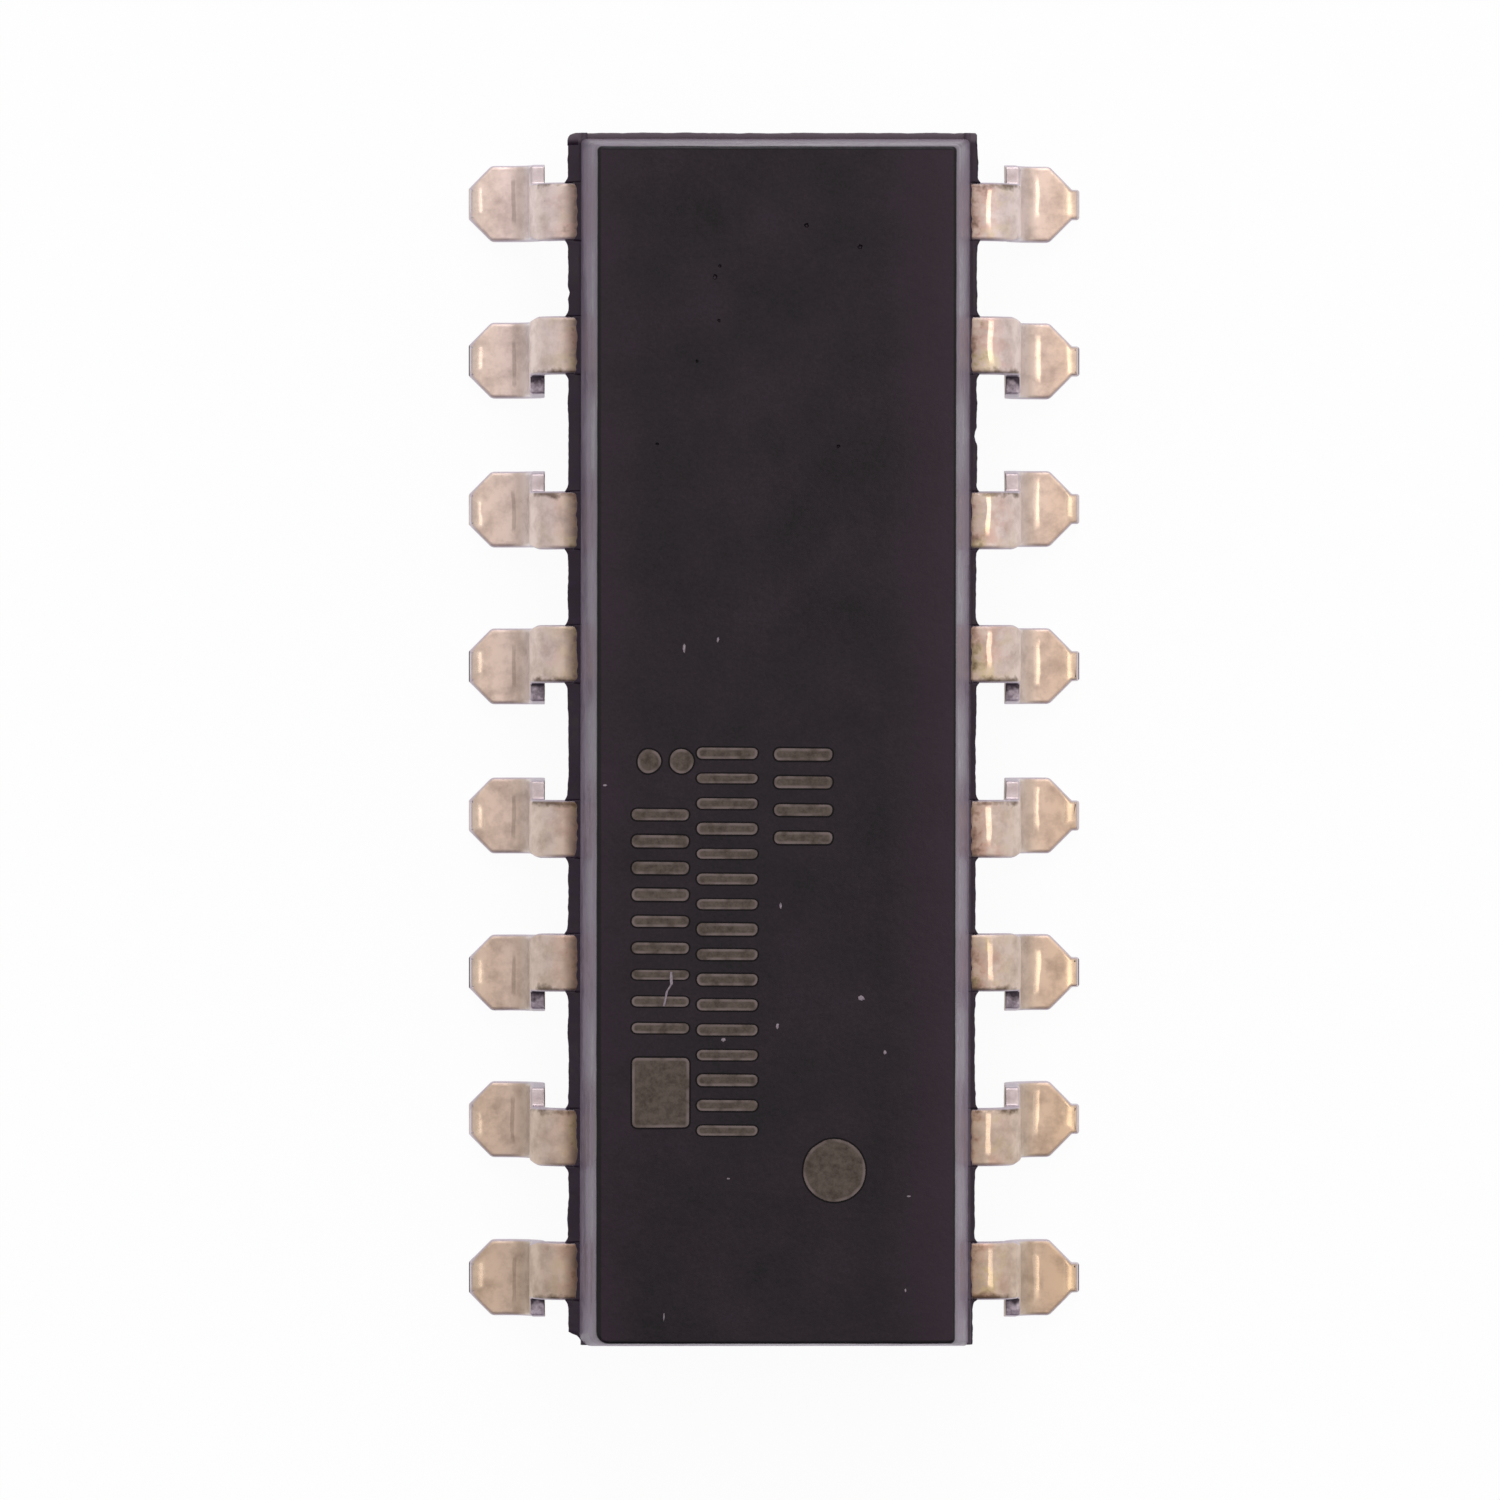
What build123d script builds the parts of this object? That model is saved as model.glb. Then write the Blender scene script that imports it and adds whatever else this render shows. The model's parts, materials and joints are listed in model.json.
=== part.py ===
from build123d import *

import os

# Four-channel optocoupler in a moulded sixteen-lead package, its leads formed as gull wings.
# Millimetres. +Z is up from the seating plane under the feet, +Y runs along the body, and the
# origin is the middle of the lead rows. Pins 1 to 8 run up the +X side and feed the infrared
# LEDs. Pins 9 to 16 run back down the -X side and carry the phototransistors' outputs.

# ---- driving dimensions ----

channels = 4
pin_pitch = 2.54

# Outer mould: two drafted halves and, between them, a band as thick as the lead frame.
body_width = 6.40
body_height = 3.65
end_overhang = 1.04           # body past the pitch line of the last pins
body_shift = 0.02             # its middle stands this far from the leads', towards pin 1
standoff = 0.15
side_lean = 0.28              # how far a side wall leans in between the band and the face
end_lean = 0.22               # the same for the end walls
first_end_lean = 0.16         # and for the one past pin 1
corner_radius = 0.08
worn_corner_radius = 0.20
input_flash = 0.095           # resin left between the necks where the dam bars were cut out;
output_flash = 0.22           # the two rows' dies cut at slightly different places
broken_flash = 0.045          # and past the first pin, where it broke back
end_flash = 0.10              # resin squeezed out past one end only
flash_root = 0.06             # how far that resin creeps along the necks
flash_corner = 0.12
bite_radius = 0.185           # where the flash broke off one corner
bite_inset = 0.04
nick_radius = 0.20
nick_depth = 0.045
nick_places = [(1, 5.02), (-1, 7.39)]
ejector_radius = 0.60
ejector_depth = 0.04

# Lead frame: one sheet, blanked and then formed.
sheet = 0.25
neck_reach = 0.86             # body wall to the outer face of the upright leg
foot_reach = 1.02             # that face to the cut end of the foot
neck_width = 0.955
neck_shift = 0.17             # the neck stands this far from its pitch line, towards its partner
neck_drop = 0.675             # lead plane to the step where the neck widens
shoulder_width = 1.26
shoulder_shift = 0.034        # the shoulder stands this far from the line, away from its partner
shoulder_corner = 0.05
shoulder_lean = 0.05          # how far the leg's outer edge leans in by the time it is there
top_bend = 0.25               # inside radii of the bends
foot_bend = 0.39
foot_corner = 0.12            # plan corners where the foot starts to taper
tip_width = 0.50
input_tip = 0.125             # narrow leg left past the taper where each row was cut off
output_tip = 0.015
tip_roll = 0.17               # rounding of the cut end's upper edge

# Inside, the LED frame is set up from the lead plane and the phototransistor frame down.
set_height = 0.65
set_inset = 0.20              # inner mould's side to the start of the set
set_run = 0.45
pad_length = 1.20
pad_width = 1.00
arm_width = 0.60
post_length = 0.65
post_width = 0.68
post_gap = 0.22

# Inner moulds: one block of white resin for each channel, drafted both ways.
side_cover = 0.95             # black resin left outside them, and between two of them
face_cover = 0.60
septum = 1.38
inner_draft = 0.15

# Chips, silicone drop and bond wires.
led_size = 0.30
led_thickness = 0.20
detector_size = 0.65
detector_thickness = 0.22
detector_bond = 0.15          # the bond stands this far off the chip's middle, each way
coat_margin = 0.08            # edge of the pad left bare round the drop
coat_height = 0.29
wire_radius = 0.0125
wire_sides = 6                # flats enough for a wire and a bond of this size
ball_radius = 0.042
ball_height = 0.020
loop_height = 0.13
loop_knee = 0.06

# ---- worked out from them ----

channel_pitch = 2 * pin_pitch
channel_places = [(index - (channels - 1) / 2) * channel_pitch for index in range(channels)]

wall = body_width / 2
input_ledge = wall + input_flash
output_ledge = wall + output_flash
body_length = (2 * channels - 1) * pin_pitch + 2 * end_overhang
body_top = standoff + body_height
body_middle = -body_shift

lead_plane = standoff + body_height / 2
lead_bottom = lead_plane - sheet / 2
lead_top = lead_plane + sheet / 2
leg_face = wall + neck_reach
leg_back = leg_face - sheet
foot_end = leg_face + foot_reach
neck_middle = pin_pitch / 2 - neck_shift
neck_inner_edge = neck_middle - neck_width / 2
shoulder_middle = pin_pitch / 2 + shoulder_shift
shoulder_top = lead_plane - neck_drop
taper = (shoulder_width - tip_width) / 2

inner_length = channel_pitch - septum
inner_width = body_width - 2 * side_cover
inner_height = body_height - 2 * face_cover
set_start = inner_width / 2 - set_inset
set_end = set_start - set_run
led_pad = lead_bottom + set_height           # face that carries the LED chip
detector_pad = lead_top - set_height         # face that carries the phototransistor chip
post_x = pad_length / 2 - post_gap + post_length / 2
post_y = pad_width / 2 + post_gap + post_width / 2
coat_radius = pad_width / 2 - coat_margin
coat_sphere = (coat_radius**2 + coat_height**2) / (2 * coat_height)


# ---- leads ----

def formed_strip(set_up):
    """The sheet formed from foot to die pad, wide enough to blank any of the leads from."""
    rise = set_height if set_up else -set_height
    bends = [foot_bend + sheet, top_bend, 0, 0]     # the set is coined sharp
    underside = [
        (foot_end, 0),
        (leg_back, 0),
        (leg_back, lead_bottom),
        (set_start, lead_bottom),
        (set_end, lead_bottom + rise),
        (-pad_length, lead_bottom + rise),
    ]
    with BuildPart() as strip:
        with BuildSketch(Plane.XZ.offset(-channel_pitch / 2)):
            with BuildLine():
                FilletPolyline(*underside, radius=bends)
                offset(amount=sheet, side=Side.RIGHT, kind=Kind.INTERSECTION)
            make_face()
        extrude(amount=channel_pitch)
    return strip.part


def carrier_outline():
    """Arm and die pad inside the body, seen from above."""
    with BuildSketch() as outline:
        with Locations((0, neck_inner_edge)):
            Rectangle(set_end, arm_width, align=(Align.MIN, Align.MIN))
        Rectangle(pad_length / 2, neck_inner_edge + arm_width / 2, align=(Align.MIN, Align.MIN))
        Rectangle(pad_length, pad_width)
    return outline.sketch


def post_outline():
    """Arm and wire post inside the body, seen from above."""
    with BuildSketch() as outline:
        with Locations((post_x, neck_inner_edge)):
            Rectangle(set_end - post_x, arm_width, align=(Align.MIN, Align.MIN))
        with Locations((post_x, post_y)):
            Rectangle(post_length, post_width)
    return outline.sketch


def foot_outline(tip_straight):
    """Shoulder, foot and cut tip, up to the step under the neck."""
    taper_end = foot_end - tip_straight
    with BuildPart() as outline:
        with BuildSketch(Plane.YZ.offset(leg_back)):
            with Locations((shoulder_middle, 0)):
                front = Polygon(
                    (-shoulder_width / 2, 0),
                    (shoulder_width / 2, 0),
                    (shoulder_width / 2 - shoulder_lean, shoulder_top),
                    (-shoulder_width / 2, shoulder_top),
                    align=None,
                )
            chamfer(front.vertices().group_by(Axis.Y)[-1], shoulder_corner)
        extrude(amount=foot_reach + sheet)
        with BuildSketch(Location((0, shoulder_middle))) as plan:
            for side in (1, -1):
                Polygon(
                    (leg_back, 0),
                    (leg_back, side * shoulder_width / 2),
                    (taper_end - taper, side * shoulder_width / 2),
                    (taper_end, side * tip_width / 2),
                    (foot_end, side * tip_width / 2),
                    (foot_end, 0),
                    align=None,
                )
            tapered = plan.vertices().filter_by_position(
                Axis.X, taper_end - taper - sheet / 2, taper_end - taper + sheet / 2
            )
            fillet(tapered, foot_corner)
        extrude(amount=shoulder_top, mode=Mode.INTERSECT)
    return outline.part


def lead(inner_outline, tip_straight, set_up):
    """One lead of the +X row, with its neck on the +Y side of the channel's middle."""
    with BuildPart() as blank:
        with BuildSketch():
            add(inner_outline)
            with Locations((set_end, neck_middle)):
                Rectangle(wall - set_end, neck_width, align=(Align.MIN, Align.CENTER))
        extrude(amount=body_top)
        with BuildSketch(Plane.XY.offset(shoulder_top)):
            with Locations((wall, neck_middle)):
                Rectangle(neck_reach, neck_width, align=(Align.MIN, Align.CENTER))
        extrude(amount=lead_top - shoulder_top)
        add(foot_outline(tip_straight))
    with BuildPart() as piece:
        add(formed_strip(set_up))
        add(blank.part, mode=Mode.INTERSECT)
        cut_edge = piece.edges().filter_by(Axis.Y).group_by(Axis.X)[-1].sort_by(Axis.Z)[-1]
        fillet(cut_edge, tip_roll)
    return piece.part


cathode = lead(carrier_outline(), input_tip, set_up=True)
anode = mirror(lead(post_outline(), input_tip, set_up=True), about=Plane.XZ)
collector = lead(carrier_outline(), output_tip, set_up=False).rotate(Axis.Z, 180)
emitter = mirror(lead(post_outline(), output_tip, set_up=False), about=Plane.YZ)


# ---- chips, seated on the pads that face each other ----

with BuildPart() as led_chip:
    with BuildSketch(Plane.XY.offset(led_pad)):
        Rectangle(led_size, led_size)
    extrude(amount=-led_thickness)

with BuildPart() as detector_chip:
    with BuildSketch(Plane.XY.offset(detector_pad)):
        Rectangle(detector_size, detector_size)
    extrude(amount=detector_thickness)


# ---- bond wires ----

def bond_wire(start, end, away):
    """Ball, loop and cut end, from a chip's face to a post's; away is the side of the loop."""
    run = Vector(end[0] - start[0], end[1] - start[1])
    landing = (end[2] - start[2]) * away
    loop_plane = Plane(origin=start, x_dir=run, z_dir=run.cross(Vector(0, 0, away)))
    bond_plane = Plane(origin=start, x_dir=run, z_dir=(0, 0, away))
    with BuildPart() as wire:
        with BuildLine(loop_plane) as path:
            Polyline(
                (0, 0),
                (0, loop_height - loop_knee),
                (loop_knee, loop_height),
                (run.length, landing),
            )
        with BuildSketch(bond_plane):
            RegularPolygon(wire_radius, wire_sides, major_radius=False)
        sweep(path=path.line, transition=Transition.RIGHT)
        split(bisect_by=Plane(origin=end, z_dir=(0, 0, away)))
        with BuildSketch(bond_plane):
            RegularPolygon(ball_radius, wire_sides)
        extrude(amount=ball_height)
    return wire.part


led_wire = bond_wire(
    start=(0, 0, led_pad - led_thickness),
    end=(post_x, -post_y, led_pad),
    away=-1,
)
detector_wire = bond_wire(
    start=(-detector_bond, detector_bond, detector_pad + detector_thickness),
    end=(-post_x, post_y, detector_pad),
    away=1,
)


# ---- clear silicone drop over the LED chip ----

with BuildPart() as led_coat:
    with Locations((0, 0, led_pad - coat_height + coat_sphere)):
        Sphere(coat_sphere)
    split(bisect_by=Plane.XY.offset(led_pad), keep=Keep.BOTTOM)
    add(led_chip.part, mode=Mode.SUBTRACT)
    add(led_wire, mode=Mode.SUBTRACT)


# ---- white inner mould of one channel ----

with BuildPart() as inner_block:
    for face in (lead_plane + inner_height / 2, lead_plane - inner_height / 2):
        with BuildSketch(Plane.XY.offset(lead_plane)):
            Rectangle(inner_width, inner_length)
        with BuildSketch(Plane.XY.offset(face)):
            Rectangle(inner_width - 2 * inner_draft, inner_length - 2 * inner_draft)
        loft()

with BuildPart() as inner_mould:
    add(inner_block.part)
    for piece in (cathode, anode, collector, emitter):
        add(piece, mode=Mode.SUBTRACT)
    for piece in (led_chip.part, detector_chip.part, led_coat.part, led_wire, detector_wire):
        add(piece, mode=Mode.SUBTRACT)


# ---- black outer mould ----

def body_section(side_inset, first_inset, end_inset):
    """The body's outline in plan, drawn in from the band's, with one corner worn rounder."""
    with Locations((0, body_middle + (first_inset - end_inset) / 2)):
        section = Rectangle(body_width - 2 * side_inset, body_length - first_inset - end_inset)
    worn = section.vertices().sort_by(Axis.Y)[:2].sort_by(Axis.X)[0]
    fillet(worn, worn_corner_radius)
    fillet([corner for corner in section.vertices() if corner != worn], corner_radius)


neck_places = [(0, place + side * neck_middle) for place in channel_places for side in (1, -1)]

with BuildPart() as outer_mould:
    for face, band_edge in ((standoff, lead_bottom), (body_top, lead_top)):
        with BuildSketch(Plane.XY.offset(face)):
            body_section(side_lean, first_end_lean, end_lean)
        with BuildSketch(Plane.XY.offset(band_edge)):
            body_section(0, 0, 0)
        loft()
    with BuildSketch(Plane.XY.offset(lead_bottom)):
        body_section(0, 0, 0)
    extrude(amount=sheet)

    # flash round the band, broken by the necks, the nicks and the bitten corner
    with BuildSketch(Plane.XY.offset(lead_bottom)) as flash:
        with Locations(((input_ledge - output_ledge) / 2, body_middle + end_flash / 2)):
            Rectangle(input_ledge + output_ledge, body_length + end_flash)
        fillet(flash.vertices().sort_by(Axis.Y)[-2:].sort_by(Axis.X)[0], flash_corner)
        with Locations(neck_places):
            Rectangle(4 * wall, neck_width)
        roots = [
            root for root in flash.vertices()
            if min(abs(root.X - input_ledge), abs(root.X + output_ledge)) < flash_root
            and abs(root.Y) < body_length / 2 - flash_corner
        ]
        chamfer(roots, flash_root)
        with Locations(neck_places):
            Rectangle(4 * wall, neck_width, mode=Mode.SUBTRACT)
        with Locations((-output_ledge, body_middle - body_length / 2 + bite_inset)):
            Circle(bite_radius, mode=Mode.SUBTRACT)
        for side, place in nick_places:
            edge = input_ledge if side > 0 else output_ledge
            with Locations((side * (edge + nick_radius - nick_depth), place)):
                Circle(nick_radius, mode=Mode.SUBTRACT)
        with Locations((wall + broken_flash, channel_places[0] - neck_middle - neck_width / 2)):
            Rectangle(
                input_flash + flash_root, body_length,
                align=(Align.MIN, Align.MAX), mode=Mode.SUBTRACT,
            )
    extrude(amount=sheet)

    # ejector pins leave two shallow rounds under the body
    with BuildSketch(Plane.XY.offset(standoff)):
        with Locations((0, -channel_pitch), (0, channel_pitch)):
            Circle(ejector_radius)
    extrude(amount=ejector_depth, mode=Mode.SUBTRACT)

    for place in channel_places:
        with Locations((0, place, 0)):
            for piece in (inner_block.part, cathode, anode, collector, emitter):
                add(piece, mode=Mode.SUBTRACT)


# ---- write each piece ----

os.makedirs("parts", exist_ok=True)


def write(piece, name, place=0):
    """Stand a piece at its channel, label it and write it."""
    placed = piece.moved(Location((0, place, 0)))
    placed.label = name
    export_step(placed, f"parts/{name}.step")


write(outer_mould.part, "outer_mould")
last_pin = 4 * channels
for index, place in enumerate(channel_places):
    write(anode, f"pin_{2 * index + 1:02d}_anode", place)
    write(cathode, f"pin_{2 * index + 2:02d}_cathode", place)
    write(emitter, f"pin_{last_pin - 2 * index - 1:02d}_emitter", place)
    write(collector, f"pin_{last_pin - 2 * index:02d}_collector", place)
    write(led_chip.part, f"led_chip_{index + 1}", place)
    write(led_wire, f"led_wire_{index + 1}", place)
    write(led_coat.part, f"led_coat_{index + 1}", place)
    write(detector_chip.part, f"phototransistor_chip_{index + 1}", place)
    write(detector_wire, f"phototransistor_wire_{index + 1}", place)
    write(inner_mould.part, f"inner_mould_{index + 1}", place)
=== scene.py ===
import json
import logging
import math
import random
from dataclasses import dataclass, field
from enum import Enum
from functools import partial

import bmesh
import bpy
from mathutils import Matrix, Vector, noise


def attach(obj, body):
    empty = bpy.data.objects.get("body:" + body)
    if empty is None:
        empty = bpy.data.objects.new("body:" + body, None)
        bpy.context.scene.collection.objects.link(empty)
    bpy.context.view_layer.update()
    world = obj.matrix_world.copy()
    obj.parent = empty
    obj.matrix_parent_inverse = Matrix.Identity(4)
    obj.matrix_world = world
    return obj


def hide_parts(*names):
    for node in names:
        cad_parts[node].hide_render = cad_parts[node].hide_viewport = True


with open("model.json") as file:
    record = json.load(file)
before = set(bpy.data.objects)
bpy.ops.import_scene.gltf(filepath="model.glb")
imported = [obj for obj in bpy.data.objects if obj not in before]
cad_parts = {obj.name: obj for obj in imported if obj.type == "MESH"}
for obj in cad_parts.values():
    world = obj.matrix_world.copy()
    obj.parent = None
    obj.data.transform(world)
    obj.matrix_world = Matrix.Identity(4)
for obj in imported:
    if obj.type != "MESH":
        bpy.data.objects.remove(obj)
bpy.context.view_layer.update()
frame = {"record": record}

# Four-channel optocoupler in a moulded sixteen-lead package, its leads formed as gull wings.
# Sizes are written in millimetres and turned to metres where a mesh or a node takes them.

MM = 0.001
ROOT = "root"
SQUARE = ((-1, -1), (1, -1), (1, 1), (-1, 1))

Tree, Node, Socket, Material = (
    bpy.types.NodeTree, bpy.types.Node, bpy.types.NodeSocket, bpy.types.Material,
)
Object, Mesh = bpy.types.Object, bpy.types.Mesh
Build, Vert, Edge = bmesh.types.BMesh, bmesh.types.BMVert, bmesh.types.BMEdge
Pair, Triple = tuple[float, float], tuple[float, float, float]
Four = tuple[float, float, float, float]

log = logging.getLogger("optocoupler")


# ---- shared helpers ----

def linear(hex_colour: str) -> Four:
    """Turn an sRGB hex value into a linear colour.

    Args:
        hex_colour: Six hex digits.

    Returns:
        Linear red, green and blue, and an alpha of 1.
    """
    channels = [int(hex_colour[start:start + 2], 16) / 255 for start in (0, 2, 4)]
    red, green, blue = (
        value / 12.92 if value <= 0.04045 else ((value + 0.055) / 1.055) ** 2.4
        for value in channels
    )
    return (red, green, blue, 1.0)


def per(size: float) -> float:
    """Noise scale, in cycles a metre, of a feature this many millimetres across."""
    return 1 / (size * MM)


def feed(node: Node, key: str | int, value: object) -> None:
    """Give an input its value, or link it to a socket or to a node's first live output."""
    if isinstance(value, Node):
        value = next(output for output in value.outputs if output.enabled)
    if isinstance(value, Socket):
        node.id_data.links.new(value, node.inputs[key])
    else:
        node.inputs[key].default_value = value


def add_node(tree: Tree, kind: str, inputs: dict | tuple = (), **settings: object) -> Node:
    """Add a node with its settings and links.

    Args:
        tree: Tree that gets the node.
        kind: Blender's name of the node's type; a shader node's goes without its first part.
        inputs: Value or source of each input, by its name or number, or in the sockets' order.
        settings: Properties of the node itself.

    Returns:
        The new node.
    """
    node = tree.nodes.new(kind if "Node" in kind else "ShaderNode" + kind)
    for name, value in settings.items():
        setattr(node, name, value)
    for key, value in inputs.items() if isinstance(inputs, dict) else enumerate(inputs):
        feed(node, key, value)
    return node


def product(tree: Tree, *masks: Node) -> Node:
    """Multiply masks together."""
    first, *others = masks
    for mask in others:
        first = add_node(tree, "Math", (first, mask), operation="MULTIPLY")
    return first


def coated(tree: Tree, base: Node | str, *coats: tuple) -> Node:
    """Lay colours over one another.

    Args:
        tree: Tree that gets the nodes.
        base: Lowest colour, as a node or a hex value.
        coats: Mask and colour of each coat, from the lowest up.

    Returns:
        The node of the whole.
    """
    for mask, colour in coats:
        under, over = (linear(c) if isinstance(c, str) else c for c in (base, colour))
        base = add_node(tree, "Mix", {"Factor": mask, "A": under, "B": over}, data_type="RGBA")
    return base


def rounded(points: list[Triple], inset: float, pieces: int = 4) -> list[Pair]:
    """Round a polygon's corners and move it inwards.

    Args:
        points: X, Y and radius of each corner, counter-clockwise.
        inset: How far each side moves in.
        pieces: Straight pieces of each corner's arc.

    Returns:
        The new outline, with as many points whatever the inset.
    """
    outline = []
    for index, (*point, radius) in enumerate(points):
        corner = Vector(point)
        before = (corner - Vector(points[index - 1][:2])).normalized()
        after = (Vector(points[(index + 1) % len(points)][:2]) - corner).normalized()
        turn = math.atan2(before.x * after.y - before.y * after.x, before.dot(after))
        if abs(turn) < 0.0001:
            continue
        half = math.tan(abs(turn) / 2)
        way = math.copysign(1.0, turn)
        centre = corner - before * radius * half + Vector((-before.y, before.x)) * radius * way
        for piece in range(pieces + 1):
            angle = turn * piece / pieces
            spoke = Vector((before.y, -before.x)) * way
            spoke.rotate(Matrix.Rotation(angle, 2))
            outline.append(tuple(centre + spoke * (radius - inset * way)))
    return outline


def new_object(name: str, data: bpy.types.ID) -> Object:
    """Link new data into the scene as an object at the origin."""
    piece = bpy.data.objects.new(name, data)
    bpy.context.scene.collection.objects.link(piece)
    return piece


def add_points(build: Build, places: list[Triple]) -> list[Vert]:
    """Add points whose places are in millimetres."""
    return [build.verts.new((x * MM, y * MM, z * MM)) for x, y, z in places]


def spokes(count: int, start: float = 0.0) -> list[Pair]:
    """Unit vectors all the way round, from this angle on."""
    angles = [start + 2 * math.pi * mark / count for mark in range(count)]
    return [(math.cos(angle), math.sin(angle)) for angle in angles]


def edges_of(build: Build, ring: list[Vert]) -> list[Edge]:
    """The edges round a ring."""
    return [build.edges.get((ring[mark - 1], corner)) for mark, corner in enumerate(ring)]


def wrap(build: Build, rings: list[list[Vert]], way: int = 1) -> None:
    """Skin a row of closed rings; -1 turns the faces round."""
    for outer, inner in zip(rings, rings[1:]):
        for mark, corner in enumerate(outer):
            build.faces.new((outer[mark - 1], corner, inner[mark], inner[mark - 1])[::way])


def bridge(build: Build, rings: list[list[Vert]], way: int = 1) -> None:
    """Skin a row of closed sections and cap both ends; -1 turns the faces round."""
    wrap(build, rings, way)
    build.faces.new(rings[0][::way])
    build.faces.new(rings[-1][::-way])



def mesh_from(name: str, build: Build) -> Mesh:
    """Write a bmesh to a new mesh and free it.

    Args:
        name: Name of the mesh.
        build: Finished bmesh, in metres.

    Returns:
        The mesh.
    """
    mesh = bpy.data.meshes.new(name)
    build.to_mesh(mesh)
    build.free()
    return mesh


def bake(piece: Object) -> None:
    """Turn an object's evaluated result into its plain mesh and drop its modifiers."""
    graph = bpy.context.evaluated_depsgraph_get()
    mesh = bpy.data.meshes.new_from_object(piece.evaluated_get(graph), depsgraph=graph)
    piece.modifiers.clear()
    piece.data = mesh


def new_group(name: str, result: str, kinds: dict[str, str]) -> tuple:
    """Start a Geometry Nodes tree.

    Args:
        name: Its name.
        result: Name of its output.
        kinds: Kind of each input, by its name.

    Returns:
        The tree, and the sockets of its inputs.
    """
    tree = bpy.data.node_groups.new(name, "GeometryNodeTree")
    tree.is_modifier = True
    for key, kind in kinds.items():
        tree.interface.new_socket(key, in_out="INPUT", socket_type="NodeSocket" + kind)
    tree.interface.new_socket(result, in_out="OUTPUT", socket_type="NodeSocketGeometry")
    return (tree, add_node(tree, "NodeGroupInput").outputs)


def set_inputs(modifier: bpy.types.NodesModifier, values: dict[str, object]) -> None:
    """Set a Geometry Nodes modifier's inputs by their sockets' identifiers.

    Args:
        modifier: Modifier whose tree is already assigned.
        values: Value of each input, by its socket's name.
    """
    for item in modifier.node_group.interface.items_tree:
        if item.name in values and item.in_out == "INPUT":
            modifier[item.identifier] = values[item.name]


def finish_piece(piece: Object, slot: str, *nodes: str) -> None:
    """Ride a piece on the part's one body, hide the CAD nodes that it stands for and log its size.

    Args:
        piece: Finished object.
        slot: Material slot of the record; not used.
        nodes: CAD nodes that it replaces.
    """
    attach(piece, ROOT)
    if nodes:
        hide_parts(*nodes)
    low, high = (
        [pick(corner[axis] for corner in piece.bound_box) / MM for axis in range(3)]
        for pick in (min, max)
    )
    size = " x ".join(f"{high[axis] - low[axis]:.2f}" for axis in range(3))
    log.info("%s: %s mm, %d faces", piece.name, size, len(piece.data.polygons))


# ---- finishes ----

@dataclass(frozen=True)
class Finish:
    """A surface: what it is made of, and how light meets it."""

    name: str
    colour: str
    roughness: float
    metallic: float = 0.0
    ior: float = 1.5
    specular: float = 0.5
    sheen: float = 0.0
    sheen_tint: str = "ffffff"

    def build(self) -> Material:
        """Make the material.

        Returns:
            The material, with its shader's constants set and its detail linked.
        """
        material = bpy.data.materials.new(self.name)
        material.use_nodes = True
        material.diffuse_color = linear(self.colour)
        tree = material.node_tree
        tree.nodes.clear()
        shader = add_node(tree, "BsdfPrincipled", {
            "Base Color": linear(self.colour), "Roughness": self.roughness,
            "Metallic": self.metallic, "IOR": self.ior, "Specular IOR Level": self.specular,
            "Sheen Weight": self.sheen, "Sheen Roughness": 0.3,
            "Sheen Tint": linear(self.sheen_tint),
        })
        add_node(tree, "OutputMaterial", {"Surface": shader.outputs["BSDF"]})
        place = add_node(tree, "TexCoord").outputs["Object"]
        self.detail(tree, shader, place)
        return material

    def detail(self, tree: Tree, shader: Node, place: Socket) -> None:
        """Link colour, roughness and bump to the shader.

        Args:
            tree: The material's tree.
            shader: Its Principled shader.
            place: Object coordinates.
        """


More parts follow.
